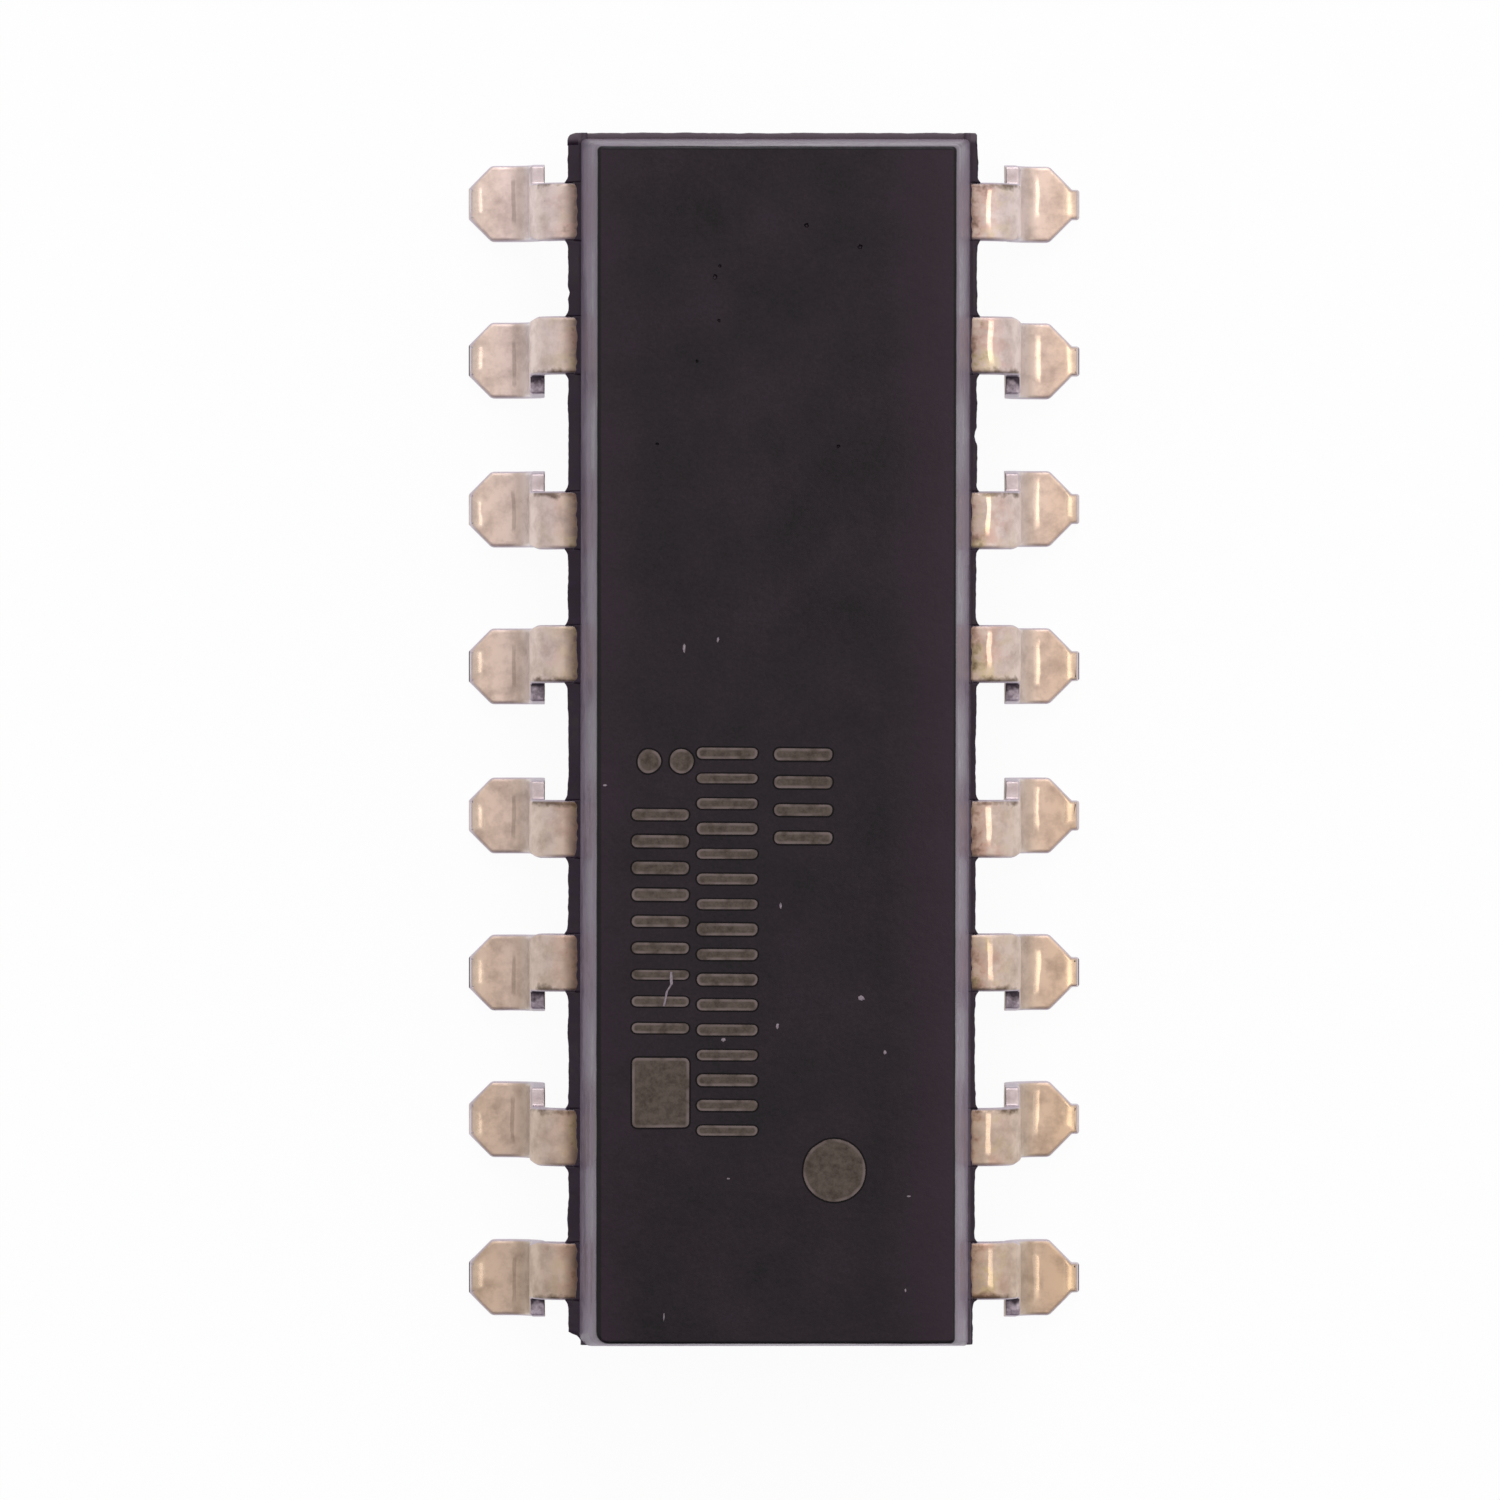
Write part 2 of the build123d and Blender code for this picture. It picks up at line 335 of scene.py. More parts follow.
@dataclass(frozen=True)
class MouldedEpoxy(Finish):
    """Silica-filled epoxy moulding compound, cast against a spark-eroded steel mould.

    It looks matt and nearly black, faintly mottled purple and brown, with a fine even grain; seen
    along its walls it turns pale and shows the mould's grinding lines, because any epoxy mirrors
    well at a glancing angle. That paleness is also painted into the walls' colour along the lines,
    a painted reflection; the top carries a painted sheen towards its sides and a painted shade line
    round its rim.
    """

    light: str = "241821"
    side: str = "30202b"
    grain: float = 0.045
    grain_depth: float = 0.002
    mottle: float = 1.3
    grinding: float = 0.36
    parting: float = 1.975
    grinding_depth: float = 0.011
    wall_sheen: str = "746a74"
    edge_haze: str = "2e2030"
    end_haze: str = "5a4e55"
    rim_shade: str = "040203"

    def detail(self, tree: Tree, shader: Node, place: Socket) -> None:
        """Mottle the colour, line the walls and grain the surface."""
        put = partial(add_node, tree)
        # lines that keep their height round the walls; on the flat faces they fade to clouds
        level = put("Mapping", {"Vector": place, "Scale": (0.16, 0.16, 1)})
        mottle, grain, ground, blots = (
            put("TexNoise", {
                "Vector": at, "Scale": per(size), "Detail": detail, "Roughness": rough
            })
            for at, size, detail, rough in (
                (place, self.mottle, 3.0, 0.6), (place, self.grain, 2.0, 0.6),
                (level, self.grinding, 3.0, 0.55), (place, 0.14, 2.0, 0.5),
            )
        )
        speckle = put("Math", (grain, 0.8, mottle), operation="MULTIPLY_ADD")
        blend = put("MapRange", (speckle, 0.62, 1.22))
        # the top is painted redder and lighter towards the sides, most towards +X: a painted sheen
        # of the lamp on that side
        across, length, height = put("SeparateXYZ", (place,)).outputs
        aside = put("Math", (across,), operation="ABSOLUTE")
        past = put("Math", (across, 0.12, aside), operation="MULTIPLY_ADD")
        sheen_aside = put("MapRange", (past, 1.9 * MM, 3.1 * MM, 0.0, 0.7))
        patchy = put("Math", (blots, 0.5, ground), operation="MULTIPLY_ADD")
        gap = put("Math", (height, self.parting * MM), operation="SUBTRACT")
        gap = put("Math", (gap,), operation="ABSOLUTE")
        span = put("Math", (length, 0.05 * MM))
        span = put("Math", (span,), operation="ABSOLUTE")
        off_flash = put("MapRange", (gap, 0.14 * MM, 0.2 * MM, 0.0, 0.7))
        off_faces = put("MapRange", (gap, 1.745 * MM, 1.79 * MM, 1.0, 0.0))
        lamp_lit_end = put("MapRange", (length, 9.7 * MM, 9.76 * MM, 1.0, 0.45))
        dim_end = put("MapRange", (length, -8 * MM, 4 * MM, 1.3, 1.0))
        lined = put("MapRange", (patchy, 0.66, 0.84, 0.4, 1.0))
        on_flash = put("MapRange", (gap, 0.14 * MM, 0.2 * MM, 1.0, 0.0))
        blotted = put("MapRange", (blots, 0.4, 0.62, 0.0, 1.0))
        on_line = put("MapRange", (gap, 0.14 * MM, 0.2 * MM, 0.9, 0.0))
        far_end = put("MapRange", (length, 9.84 * MM, 9.9 * MM, 0.0, 1.0))
        side_rim = put("MapRange", (aside, 2.86 * MM, 2.885 * MM, 0.0, 0.9))
        end_rim = put("MapRange", (span, 9.69 * MM, 9.715 * MM, 0.0, 0.9))
        topmost = put("MapRange", (height, 3.76 * MM, 3.78 * MM, 0.0, 1.0))
        rim = put("Math", (side_rim, end_rim), operation="MAXIMUM")
        feed(shader, "Base Color", coated(
            tree, self.colour, (blend, self.light), (sheen_aside, self.side),
            # the walls are painted paler along their lines, a painted glancing reflection: less on
            # the +Y end wall, which the window lamp lights, and more towards the -Y end, which
            # faces the dim part of the sky; the flash is paler in blots, and paler past the +Y end
            (product(tree, off_flash, off_faces, lamp_lit_end, dim_end, lined), self.wall_sheen),
            (product(tree, on_flash, blotted), self.edge_haze),
            (product(tree, on_line, far_end), self.end_haze),
            # the rounded rim above the walls is painted nearly black: a painted shade line where
            # the rim turns from the top face to the walls
            (product(tree, rim, topmost), self.rim_shade),
        ))
        gloss = put("MapRange", (patchy, 0.6, 0.9, self.roughness - 0.1, self.roughness + 0.14))
        feed(shader, "Roughness", gloss)

        lines = put(
            "Bump", {"Height": patchy, "Strength": 0.8, "Distance": self.grinding_depth * MM}
        )
        fine = put("Bump", {
            "Height": grain, "Strength": 0.8, "Distance": self.grain_depth * MM, "Normal": lines
        })
        feed(shader, "Normal", fine)


@dataclass(frozen=True)
class TinPlate(Finish):
    """Matt tin, electroplated on a copper-alloy lead and then dragged through forming dies.

    It looks silky and warm, with burnished patches where the dies rubbed, faint drag lines, and
    brown stains next to the resin. Its colour is painted cooler over the shoulder and more golden
    on the foot, a painted tint of the light each part catches, and greyer on edges that tilt away,
    a painted shade.
    """

    shade: str = "a8968a"
    stain: str = "64503f"
    straw: str = "e2d2a2"
    reddened: str = "dab2a2"
    rolled: str = "cfc6d0"
    pin_1_tint: str = "e9e3d4"
    crease_shade: str = "6a5440"
    creased: float = 0.0
    heat: float = 0.62
    crystal: float = 0.035
    cloud: float = 0.34
    root: tuple[tuple[float, str], ...] = ((0.0, "9a7f6e"), (0.05, "d8c4b4"), (0.16, "e4d2c4"))
    # the tones along the blank are painted: cooler and paler over the shoulder and leg, warmer and
    # golden on the foot, a painted tint of what each part reflects
    tones: tuple[tuple[float, str], ...] = (
        (0.45, "f0e0d9"), (1.64, "ecdedd"), (1.98, "f4eff2"), (2.36, "e6d4c6"), (2.69, "f0dac8"),
        (3.29, "eed4ba"),
    )
    burnished: tuple[Four, ...] = (
        (2.552, 0.078, 1.29, 0.42), (3.19, 0.17, 1.31, 0.34), (0.311, 0.04, 1.05, 0.36)
    )
    crease: Four = (2.5, 0.05, 1.34, 0.38)
    polish: float = 0.27

    def patch(self, tree: Tree, flat: Socket, place: Socket, sizes: Four) -> Socket:
        """Mask of one burnished patch.

        Args:
            tree: The material's tree.
            flat: The point's place on the blank.
            place: Object coordinates, which fray each lead's patch its own way.
            sizes: Middle and half length along the blank, then the same across it.

        Returns:
            1 inside the patch, and 0 outside.
        """
        along, half_along, across, half_across = sizes
        # a noise colour's middle is 0.5, so the warp shifts the place by half its size
        put = partial(add_node, tree)
        warp = put("TexNoise", {"Vector": place, "Scale": per(0.6), "Detail": 1.0})
        warped = put(
            "VectorMath", (warp.outputs["Color"], (0.09, 0.09, 0), flat), operation="MULTIPLY_ADD"
        )
        moved = put(
            "VectorMath", (warped, (along + 0.045, across + 0.045, 0)), operation="SUBTRACT"
        )
        sized = put("VectorMath", (moved, (half_along, half_across, 1)), operation="DIVIDE")
        both_ways = put("VectorMath", (sized,), operation="ABSOLUTE")
        parts = put("SeparateXYZ", (both_ways,)).outputs
        reach = put("Math", (parts["X"], parts["Y"], 0.3), operation="SMOOTH_MAX")
        frayed = put("TexNoise", {"Vector": place, "Scale": per(0.25)})
        uneven = put("Math", (frayed, 0.9, reach), operation="MULTIPLY_ADD")
        mask = put("MapRange", (uneven, 1.15, 1.5, 1.0, 0.0), interpolation_type="SMOOTHSTEP")
        return mask

    def detail(self, tree: Tree, shader: Node, place: Socket) -> None:
        """Tone, cloud and stain the plate, burnish its bends and give it lines and grain."""
        put = partial(add_node, tree)
        flat = put("UVMap", uv_map="blank")
        rubbed = put("UVMap", uv_map="rubbed")
        along, across, _ = put("SeparateXYZ", (flat,)).outputs
        tones = self.root + self.tones
        last = tones[-1][0]
        share = put("MapRange", (along, 0.0, last))
        ramp = put("ValToRGB", {"Fac": share})
        stops = ramp.color_ramp.elements
        for _ in tones[2:]:
            stops.new(0.5)
        for stop, (at, tone) in zip(stops, tones):
            stop.position = at / last
            stop.color = linear(tone)

        cloud, blot, warmth, crystal = (
            put("TexNoise", {
                "Vector": place, "Scale": per(size), "Detail": detail, "Roughness": rough
            })
            for size, detail, rough in (
                (self.cloud, 4.0, 0.65), (0.22, 3.0, 0.6), (0.5, 1.0, 0.5), (self.crystal, 2.0, 0.6)
            )
        )
        dull = put("MapRange", (cloud, 0.42, 0.74, 0.0, 0.5))
        # heat tinted the neck red and straw yellow in patches
        heated = put("MapRange", (along, 0.22, 0.8, self.heat, 0.0))
        patches = put("MapRange", (blot, 0.42, 0.6))
        heat = product(tree, heated, patches)
        hot = put("MapRange", (warmth, 0.42, 0.54))
        hue = coated(tree, self.straw, (hot, self.reddened))

        # stains hug the resin and the neck's stepped edge, and come back in specks
        near = put("MapRange", (along, 0.02, 0.35, 0.3, 0.0))
        edge = put("MapRange", (across, 1.4, 1.55, 0.0, 0.44))
        neck = put("MapRange", (along, 0.75, 1.0, 1.0, 0.0))
        worst = put("Math", (near, product(tree, edge, neck)), operation="MAXIMUM")
        soiled = put("Math", (worst, blot))
        mask = put("MapRange", (soiled, 0.72, 0.98, 0.0, 0.8))
        stained = coated(tree, ramp, (dull, self.shade), (heat, hue), (mask, self.stain))
        # the tin is multiplied darker and yellower towards pin 1, at -Y
        length = put("SeparateXYZ", (place,)).outputs["Y"]
        toward_pin_1 = put("MapRange", (length, 9 * MM, -9 * MM, 0.0, 1.0))
        tinted_toward_pin_1 = put("Mix", {
            "Factor": toward_pin_1, "A": stained, "B": linear(self.pin_1_tint)
        }, data_type="RGBA", blend_type="MULTIPLY")
        # the -X row's heel crease is painted darker in a patch: a painted shade where the bend
        # faces away from the key lamp
        crease_shade_mask = product(tree, self.patch(tree, rubbed, place, self.crease), self.creased)
        # the edges, where the surface tilts away from the sheet, are painted greyer and lavender: a
        # painted shade where they face away from the light
        tilt = put("SeparateXYZ", (put("UVMap", uv_map="rolled"),)).outputs["X"]
        over = put("MapRange", (tilt, 0.08, 0.4, 0.0, 0.9))
        feed(
            shader, "Base Color", coated(tree, tinted_toward_pin_1, (crease_shade_mask, self.crease_shade), (over, self.rolled))
        )

        gloss = put("MapRange", (cloud, 0.3, 0.7, self.roughness - 0.05, self.roughness + 0.09))
        for sizes in self.burnished:
            gloss = put("Mix", {
                "Factor": self.patch(tree, rubbed, place, sizes), "A": gloss, "B": self.polish
            }, data_type="FLOAT")
        feed(shader, "Roughness", gloss)

        # die drag: hair lines along the strip, drawn at 0.05 mm, several times their true width
        drag_place = put("Mapping", {"Vector": flat, "Scale": (0.8, 20, 1)})
        drag = put("TexNoise", {"Vector": drag_place, "Scale": 1.0})
        lines = put("Bump", {"Height": drag, "Strength": 0.4, "Distance": 0.0015 * MM})
        grain = put(
            "Bump", {"Height": crystal, "Strength": 0.25, "Distance": 0.001 * MM, "Normal": lines}
        )
        feed(shader, "Normal", grain)


@dataclass(frozen=True)
class Grained(Finish):
    """Any plain material with one grain: colour, gloss and bump vary together."""

    shade: str = "808080"
    grain: float = 0.06
    depth: float = 0.003
    stretch: Triple = (1.0, 1.0, 1.0)
    contrast: float = 0.18

    def detail(self, tree: Tree, shader: Node, place: Socket) -> None:
        """Vary the colour between two tones and raise the same grain."""
        put = partial(add_node, tree)
        drawn = put("Mapping", {"Vector": place, "Scale": self.stretch})
        grain = put("TexNoise", {
            "Vector": drawn, "Scale": per(self.grain), "Detail": 3.0, "Roughness": 0.6
        })
        spread = put("MapRange", (grain, 0.5 - self.contrast, 0.5 + self.contrast))
        bump = put("Bump", {"Height": grain, "Strength": 0.7, "Distance": self.depth * MM})
        feed(shader, "Base Color", coated(tree, self.shade, (spread, self.colour)))
        feed(shader, "Normal", bump)


@dataclass(frozen=True)
class ShadedTornEdge(Grained):
    """Edge torn off the next lead of the strip, bare of tin, on the side that lies in the neck's
    shadow.

    It looks dull and pitted, nearly black in the notch next to the neck and grey beyond it; its
    colours are painted darker than the tinned edge's, and the notch painted nearly black, as
    painted shade of the neck.
    """

    neck_shade: str = "3c333a"

    def detail(self, tree: Tree, shader: Node, place: Socket) -> None:
        """Grain the edge and paint the neck's shade on it, darkest next to the neck."""
        super().detail(tree, shader, place)
        put = partial(add_node, tree)
        across = put("SeparateXYZ", (put("UVMap", uv_map="blank"),)).outputs["Y"]
        blot = put("TexNoise", {"Vector": place, "Scale": per(0.16)})
        reach = put("Math", (blot, 0.5, across), operation="MULTIPLY_ADD")
        # painted shadow: the edge turns nearly black next to the neck, where the neck's shade falls
        near = put("MapRange", (reach, 1.88, 2.02, 0.9, 0.0))
        tinned = shader.inputs["Base Color"].links[0].from_socket
        feed(shader, "Base Color", coated(tree, tinned, (near, self.neck_shade)))


# ---- leads ----

class Role(Enum):
    """What a lead carries: its word, row side, hand, pad or post, and its set.

    The row side is 1 for the +X row, the hand is 1 where the neck stands on the +Y side of the
    channel's middle, and the set is 1 where the inner end is set up.
    """

    CATHODE = ("cathode", 1, 1, True, 1)
    ANODE = ("anode", 1, -1, False, 1)
    COLLECTOR = ("collector", -1, -1, True, -1)
    EMITTER = ("emitter", -1, 1, False, -1)

    def __init__(self, word: str, row: int, hand: int, carries_chip: bool, set_way: int) -> None:
        """Name the role's five values."""
        self.word, self.row, self.hand = (word, row, hand)
        self.carries_chip, self.set_way = (carries_chip, set_way)

    def pin(self, channel: int, channels: int) -> int:
        """Pin number of this role.

        Args:
            channel: Channel, counted from 0.
            channels: How many channels there are.

        Returns:
            The pin's number, counted from 1.
        """
        across = 4 * channels - 2 * channel
        return {
            Role.ANODE: 2 * channel + 1, Role.CATHODE: 2 * channel + 2, Role.COLLECTOR: across,
            Role.EMITTER: across - 1,
        }[self]


@dataclass(frozen=True)
class Station:
    """One crosswise line of a blank: place along it, and the two edges there."""

    along: float
    low: float
    high: float
    corner: float = 0.045


@dataclass
class LeadFrame:
    """Sixteen stamped and formed leads, in millimetres."""

    channels: int = 4
    pitch: float = 2.54
    sheet: float = 0.25
    plane: float = 1.975
    wall: float = 3.2
    leg_face: float = 4.06
    foot_end: float = 5.08
    neck_width: float = 0.955
    neck_shift: float = 0.17
    shoulder_width: float = 1.26
    shoulder_shift: float = 0.034
    shoulder_top: float = 1.3
    shoulder_lean: float = 0.05
    top_bend: float = 0.4
    foot_bend: float = 0.39
    tip_width: float = 0.5
    input_tip: float = 0.125
    tip_roll: float = 0.227
    tip_radius: float = 0.42
    set_height: float = 0.65
    set_start: float = 2.05
    set_end: float = 1.6
    pad_length: float = 1.2
    pad_width: float = 1.0
    arm_width: float = 0.6
    post_start: float = 0.38
    post_end: float = 1.03
    post_low: float = 0.72
    post_high: float = 1.4
    corner: float = 0.045
    foot_corner: float = 0.12
    ease_start: float = 0.5
    ease_end: float = 0.72
    ease_corner: float = 0.3
    die_roll: float = 0.062
    burr_edge: float = 0.012
    bend_cuts: int = 12
    sideways: float = 0.02
    wave_height: float = 0.035
    wave_length: float = 0.6
    slip_along: float = 0.015
    slip_across: float = 0.07
    plates: dict[int, Material] = field(default_factory=dict)
    shear: Material | None = None
    torn: Material | None = None

    @property
    def leg_middle(self) -> float:
        """Middle plane of the upright leg."""
        return self.leg_face - self.sheet / 2

    @property
    def neck(self) -> Pair:
        """Edges of the neck, from the channel's middle."""
        middle = self.pitch / 2 - self.neck_shift
        return (middle - self.neck_width / 2, middle + self.neck_width / 2)

    @property
    def shoulder(self) -> Pair:
        """Edges of the shoulder, from the channel's middle."""
        middle = self.pitch / 2 + self.shoulder_shift
        return (middle - self.shoulder_width / 2, middle + self.shoulder_width / 2)

    def corners(self, role: Role) -> list[Triple]:
        """Corners of the forming path.

        Args:
            role: The lead's role.

        Returns:
            X, Z and bend radius at the sheet's middle plane, from the inner end to the tip.
        """
        inner = -self.pad_length / 2 if role.carries_chip else self.post_start
        rise = role.set_way * self.set_height
        slope = math.atan2(self.set_height, self.set_start - self.set_end)
        shift = role.set_way * self.sheet / 2 * math.tan(slope / 2)
        half = self.sheet / 2
        return [
            (inner, self.plane + rise, 0), (self.set_end + shift, self.plane + rise, 0),
            (self.set_start + shift, self.plane, 0),
            (self.leg_middle, self.plane, self.top_bend + half),
            (self.leg_middle, half, self.foot_bend + half), (self.foot_end, half, 0),
        ]

    def along(self, role: Role, x: float | None = None, z: float | None = None) -> float:
        """Place along the blank of a point on one of the straight runs.

        Args:
            role: The lead's role.
            x: The point's X, on the pad, the neck or the foot.
            z: The point's Z, on the leg, in place of x.

        Returns:
            Distance from the inner end, along the sheet's middle plane.
        """
        points = self.corners(role)
        inner, set_top, set_foot, shoulder, foot, _ = points
        top, heel = shoulder[2], foot[2]
        at_top = set_top[0] - inner[0]
        at_foot = at_top + math.dist(set_top[:2], set_foot[:2])
        at_leg = at_foot + shoulder[0] - top - set_foot[0] + top * math.pi / 2
        at_heel = at_leg + self.plane - top - (foot[1] + heel)
        at_sole = at_heel + heel * math.pi / 2
        if z is not None:
            return at_leg + self.plane - top - z
        if x <= set_top[0]:
            return x - inner[0]
        if x <= shoulder[0]:
            return at_foot + x - set_foot[0]
        return at_sole + x - foot[0] - heel

    def outline(self, role: Role) -> list[Station]:
        """The blank's outline, from the inner end to the tip.

        Args:
            role: The lead's role.

        Returns:
            Its stations; two at one place are a step.
        """
        neck_low, neck_high = self.neck
        low, high = self.shoulder
        arm_high = neck_low + self.arm_width
        tip_straight = self.input_tip if role.row > 0 else 0.0
        taper = (self.shoulder_width - self.tip_width) / 2
        tip_low, tip_high = low + taper, high - taper
        half = self.pad_width / 2
        if role.carries_chip:
            plan = [
                (-self.pad_length / 2, -half, half), (0, -half, half), (0, -half, arm_high),
                (self.pad_length / 2, -half, arm_high), (self.pad_length / 2, neck_low, arm_high),
            ]
        else:
            middle = (self.post_start + self.post_end) / 2
            plan = [
                (self.post_start, self.post_low, self.post_high),
                (middle, self.post_low, self.post_high), (middle, neck_low, self.post_high),
                (self.post_end, neck_low, self.post_high), (self.post_end, neck_low, arm_high),
            ]
        plan += [(self.set_end, neck_low, arm_high), (self.set_end, neck_low, neck_high)]
        stations = [Station(self.along(role, x), a, b) for x, a, b in plan]
        # over the bend the neck's inner edge eases in to the shoulder's
        bend = self.along(role, self.leg_middle - self.top_bend - self.sheet / 2)
        stations += [
            Station(bend + self.ease_start, neck_low, neck_high, self.ease_corner),
            Station(bend + self.ease_end, low, neck_high, self.ease_corner),
        ]
        step = self.along(role, z=self.shoulder_top)
        stations += [
            Station(step, low, neck_high), Station(step, low, high - self.shoulder_lean),
            Station(self.along(role, z=self.foot_bend + self.sheet), low, high),
        ]
        taper_end = self.foot_end - tip_straight
        widest = self.along(role, taper_end - taper)
        stations.append(Station(widest, low, high, self.foot_corner))
        stations.append(Station(self.along(role, taper_end), tip_low, tip_high))
        if tip_straight > self.corner:
            stations.append(Station(self.along(role, self.foot_end), tip_low, tip_high))
        return stations

    def blank(self, role: Role) -> Mesh:
        """The flat blank: X runs along it, Y across it and Z through the sheet.

        Args:
            role: The lead's role.

        Returns:
            A closed mesh with rolled edges, cut finely enough to be bent.
        """
        stations = self.outline(role)
        points = [(s.along, s.low, s.corner) for s in stations]
        points += [(s.along, s.high, s.corner) for s in reversed(stations)]
        # a step repeats one edge's point
        points = [p for p, q in zip(points, points[-1:] + points[:-1]) if math.dist(p, q) > 1e-06]
        build = bmesh.new()
        bridge(build, [
            add_points(build, [(x, y, z) for x, y in rounded(points, inset)])
            for inset, z in self.rim()
        ])
        low, high = self.shoulder
        shares = (0.17, 0.34, 0.5, 0.66, 0.83)
        slices = [((place, 0, 0), (1, 0, 0)) for place in self.cuts(role)]
        slices += [((0, low + share * (high - low), 0), (0, 1, 0)) for share in shares]
        for place, normal in slices:
            bmesh.ops.bisect_plane(
                build, geom=build.verts[:] + build.edges[:] + build.faces[:],
                plane_co=Vector(place) * MM, plane_no=normal, dist=1e-09,
            )
        bmesh.ops.recalc_face_normals(build, faces=build.faces)
        self.roll_tip(build, stations[-1].along, self.roll(role))
        self.mark_shear(build, stations[-1].along, self.along(role, z=self.shoulder_top))
        self.unwrap(build, self.along(role, self.wall))
        return mesh_from(f"blank_{role.word}", build)

    def roll(self, role: Role) -> float:
        """Length of the rounding at the tip, longer on the row cut close to its taper."""
        return self.tip_roll if role.row > 0 else self.tip_roll * 1.16

    def cuts(self, role: Role) -> list[float]:
        """Places along the blank where it is cut across, so that it can bend."""
        _, set_top, set_foot, shoulder, foot, _ = self.corners(role)
        top, heel = shoulder[2], foot[2]
        top_start = self.along(role, self.leg_middle - top)
        leg_start = self.along(role, z=self.plane - top)
        leg_end = self.along(role, z=foot[1] + heel)
        sole = self.along(role, self.leg_middle + heel)
        tip = self.along(role, self.foot_end)
        set_start, set_end = self.along(role, set_foot[0]), self.along(role, set_top[0])
        places = [set_start, set_end]
        for start, end, count in (
            (set_start, top_start, 8), (top_start, leg_start, self.bend_cuts),
            (leg_start, leg_end, 6), (leg_end, sole, self.bend_cuts),
            (sole, tip - self.roll(role), 4), (tip - self.roll(role), tip, 7),
        ):
            places += [start + (end - start) * index / count for index in range(count)]
        return places

    def roll_tip(self, build: Build, tip: float, roll: float) -> None:
        """Round the cut end's upper edge over, as the cut-off die leaves it.

        Args:
            build: The blank.
            tip: Place along it of the cut end.
            roll: Length of the rounding.
        """
        for vertex in build.verts:
            past = vertex.co.x / MM - tip + roll
            if past > 0 and vertex.co.z > 0:
                vertex.co.z -= (self.tip_radius - math.sqrt(self.tip_radius ** 2 - past ** 2)) * MM

    def mark_shear(self, build: Build, tip: float, step: float) -> None:
        """Give the faces that were cut after plating the second material."""
        for face in build.faces:
            middle = face.calc_center_median()
            faces_along = abs(face.normal.x) > 0.7
            at_cut = any(abs(middle.x / MM - place) < 0.06 for place in (tip, step))
            if faces_along and at_cut:
                face.material_index = 1

    def rim(self) -> list[Pair]:
        """Section of the blank's edge: inset and height, rolled by the punch and burred below."""
        half = self.sheet / 2
        rows = []
        for way, radius, turns in ((1, self.die_roll, 4), (-1, self.burr_edge, 2)):
            # one more loop each side of the arc keeps the broad face and the cut side flat
            arc = [(radius + 0.015, way * half)]
            for turn in range(turns + 1):
                angle = math.radians(90 * turn / turns)
                arc.append((
                    radius * (1 - math.sin(angle)), way * (half - radius * (1 - math.cos(angle)))
                ))
            arc.append((0.0, way * (half - radius - 0.012)))
            rows += arc if way > 0 else arc[::-1]
        return rows

    def unwrap(self, build: Build, wall: float) -> None:
        """Lay each point's own place into the UV maps, in millimetres.

        Args:
            build: The blank.
            wall: Place along it of the body's wall, which the maps start from.
        """
        layers = build.loops.layers.uv
        for name in ("blank", "rubbed", "rolled"):
            layers.new(name)
        build.normal_update()
        for face in build.faces:
            face.smooth = True
            for loop in face.loops:
                place = (loop.vert.co.x / MM - wall, loop.vert.co.y / MM)
                loop[layers["blank"]].uv = place
                loop[layers["rubbed"]].uv = place
                # how far the surface tilts from the sheet
                loop[layers["rolled"]].uv = (1 - abs(loop.vert.normal.z), 0)

    def path(self, role: Role) -> Object:
        """The forming path as a curve, with each corner's bend as its radius."""
        points = self.corners(role)
        curve = bpy.data.curves.new(f"path_{role.word}", "CURVE")
        curve.dimensions = "3D"
        spline = curve.splines.new("POLY")
        spline.points.add(len(points) - 1)
        for point, (x, z, bend) in zip(spline.points, points):
            point.co = (x * MM, 0, z * MM, 1)
            point.radius = bend * MM
        return new_object(f"path_{role.word}", curve)

    def press(self) -> Tree:
        """The tree that bends a flat blank along a forming path and stands it in its row.

        Returns:
            A Geometry Nodes tree with named inputs.
        """
        tree, given = new_group("press_form_lead", "Lead", {
            "Blank": "Geometry", "Forming path": "Object", "Row side": "Float", "Hand": "Float",
            "Channel place": "Float", "Sideways set": "Float", "Wave height": "Float",
            "Wave length": "Float", "Wave start": "Float", "Seed": "Float", "Tin plate": "Material",
            "Sheared edge": "Material",
        })

        put = partial(add_node, tree)
        path = put("GeometryNodeObjectInfo", {"Object": given["Forming path"]})
        bend = put("GeometryNodeInputRadius")
        bent = put("GeometryNodeFilletCurve", {
            "Curve": path.outputs["Geometry"], "Count": 24, "Radius": bend
        }, mode="POLY")
        flat = put("GeometryNodeInputPosition")
        split = put("SeparateXYZ", (flat,)).outputs
        on_path = put("GeometryNodeSampleCurve", {
            "Curves": bent, "Length": split["X"]
        }, mode="LENGTH", use_all_curves=True)
        outward = put(
            "VectorMath", (on_path.outputs["Tangent"], (0, 1, 0)), operation="CROSS_PRODUCT"
        )

        # a slow wave through the whole sheet, and none inside the body
        drifted = put("CombineXYZ", (split["X"], split["Y"], given["Seed"]))
        wave_scale = put("Math", (1.0, given["Wave length"]), operation="DIVIDE")
        wave = put("TexNoise", {"Vector": drifted, "Scale": wave_scale})
        centred = put("Math", (wave, 0.5), operation="SUBTRACT")
        beyond = put("Math", (split["X"], given["Wave start"]), operation="SUBTRACT")
        shown = put("MapRange", (beyond, 0.0, 0.4 * MM))
        height = put("Math", (centred, given["Wave height"]), operation="MULTIPLY")
        faded = put("Math", (height, shown, split["Z"]), operation="MULTIPLY_ADD")
        offset = put("VectorMath", {0: outward, "Scale": faded}, operation="SCALE")
        formed = put("VectorMath", (on_path.outputs["Position"], offset), operation="ADD")
        at = put("SeparateXYZ", (formed,)).outputs

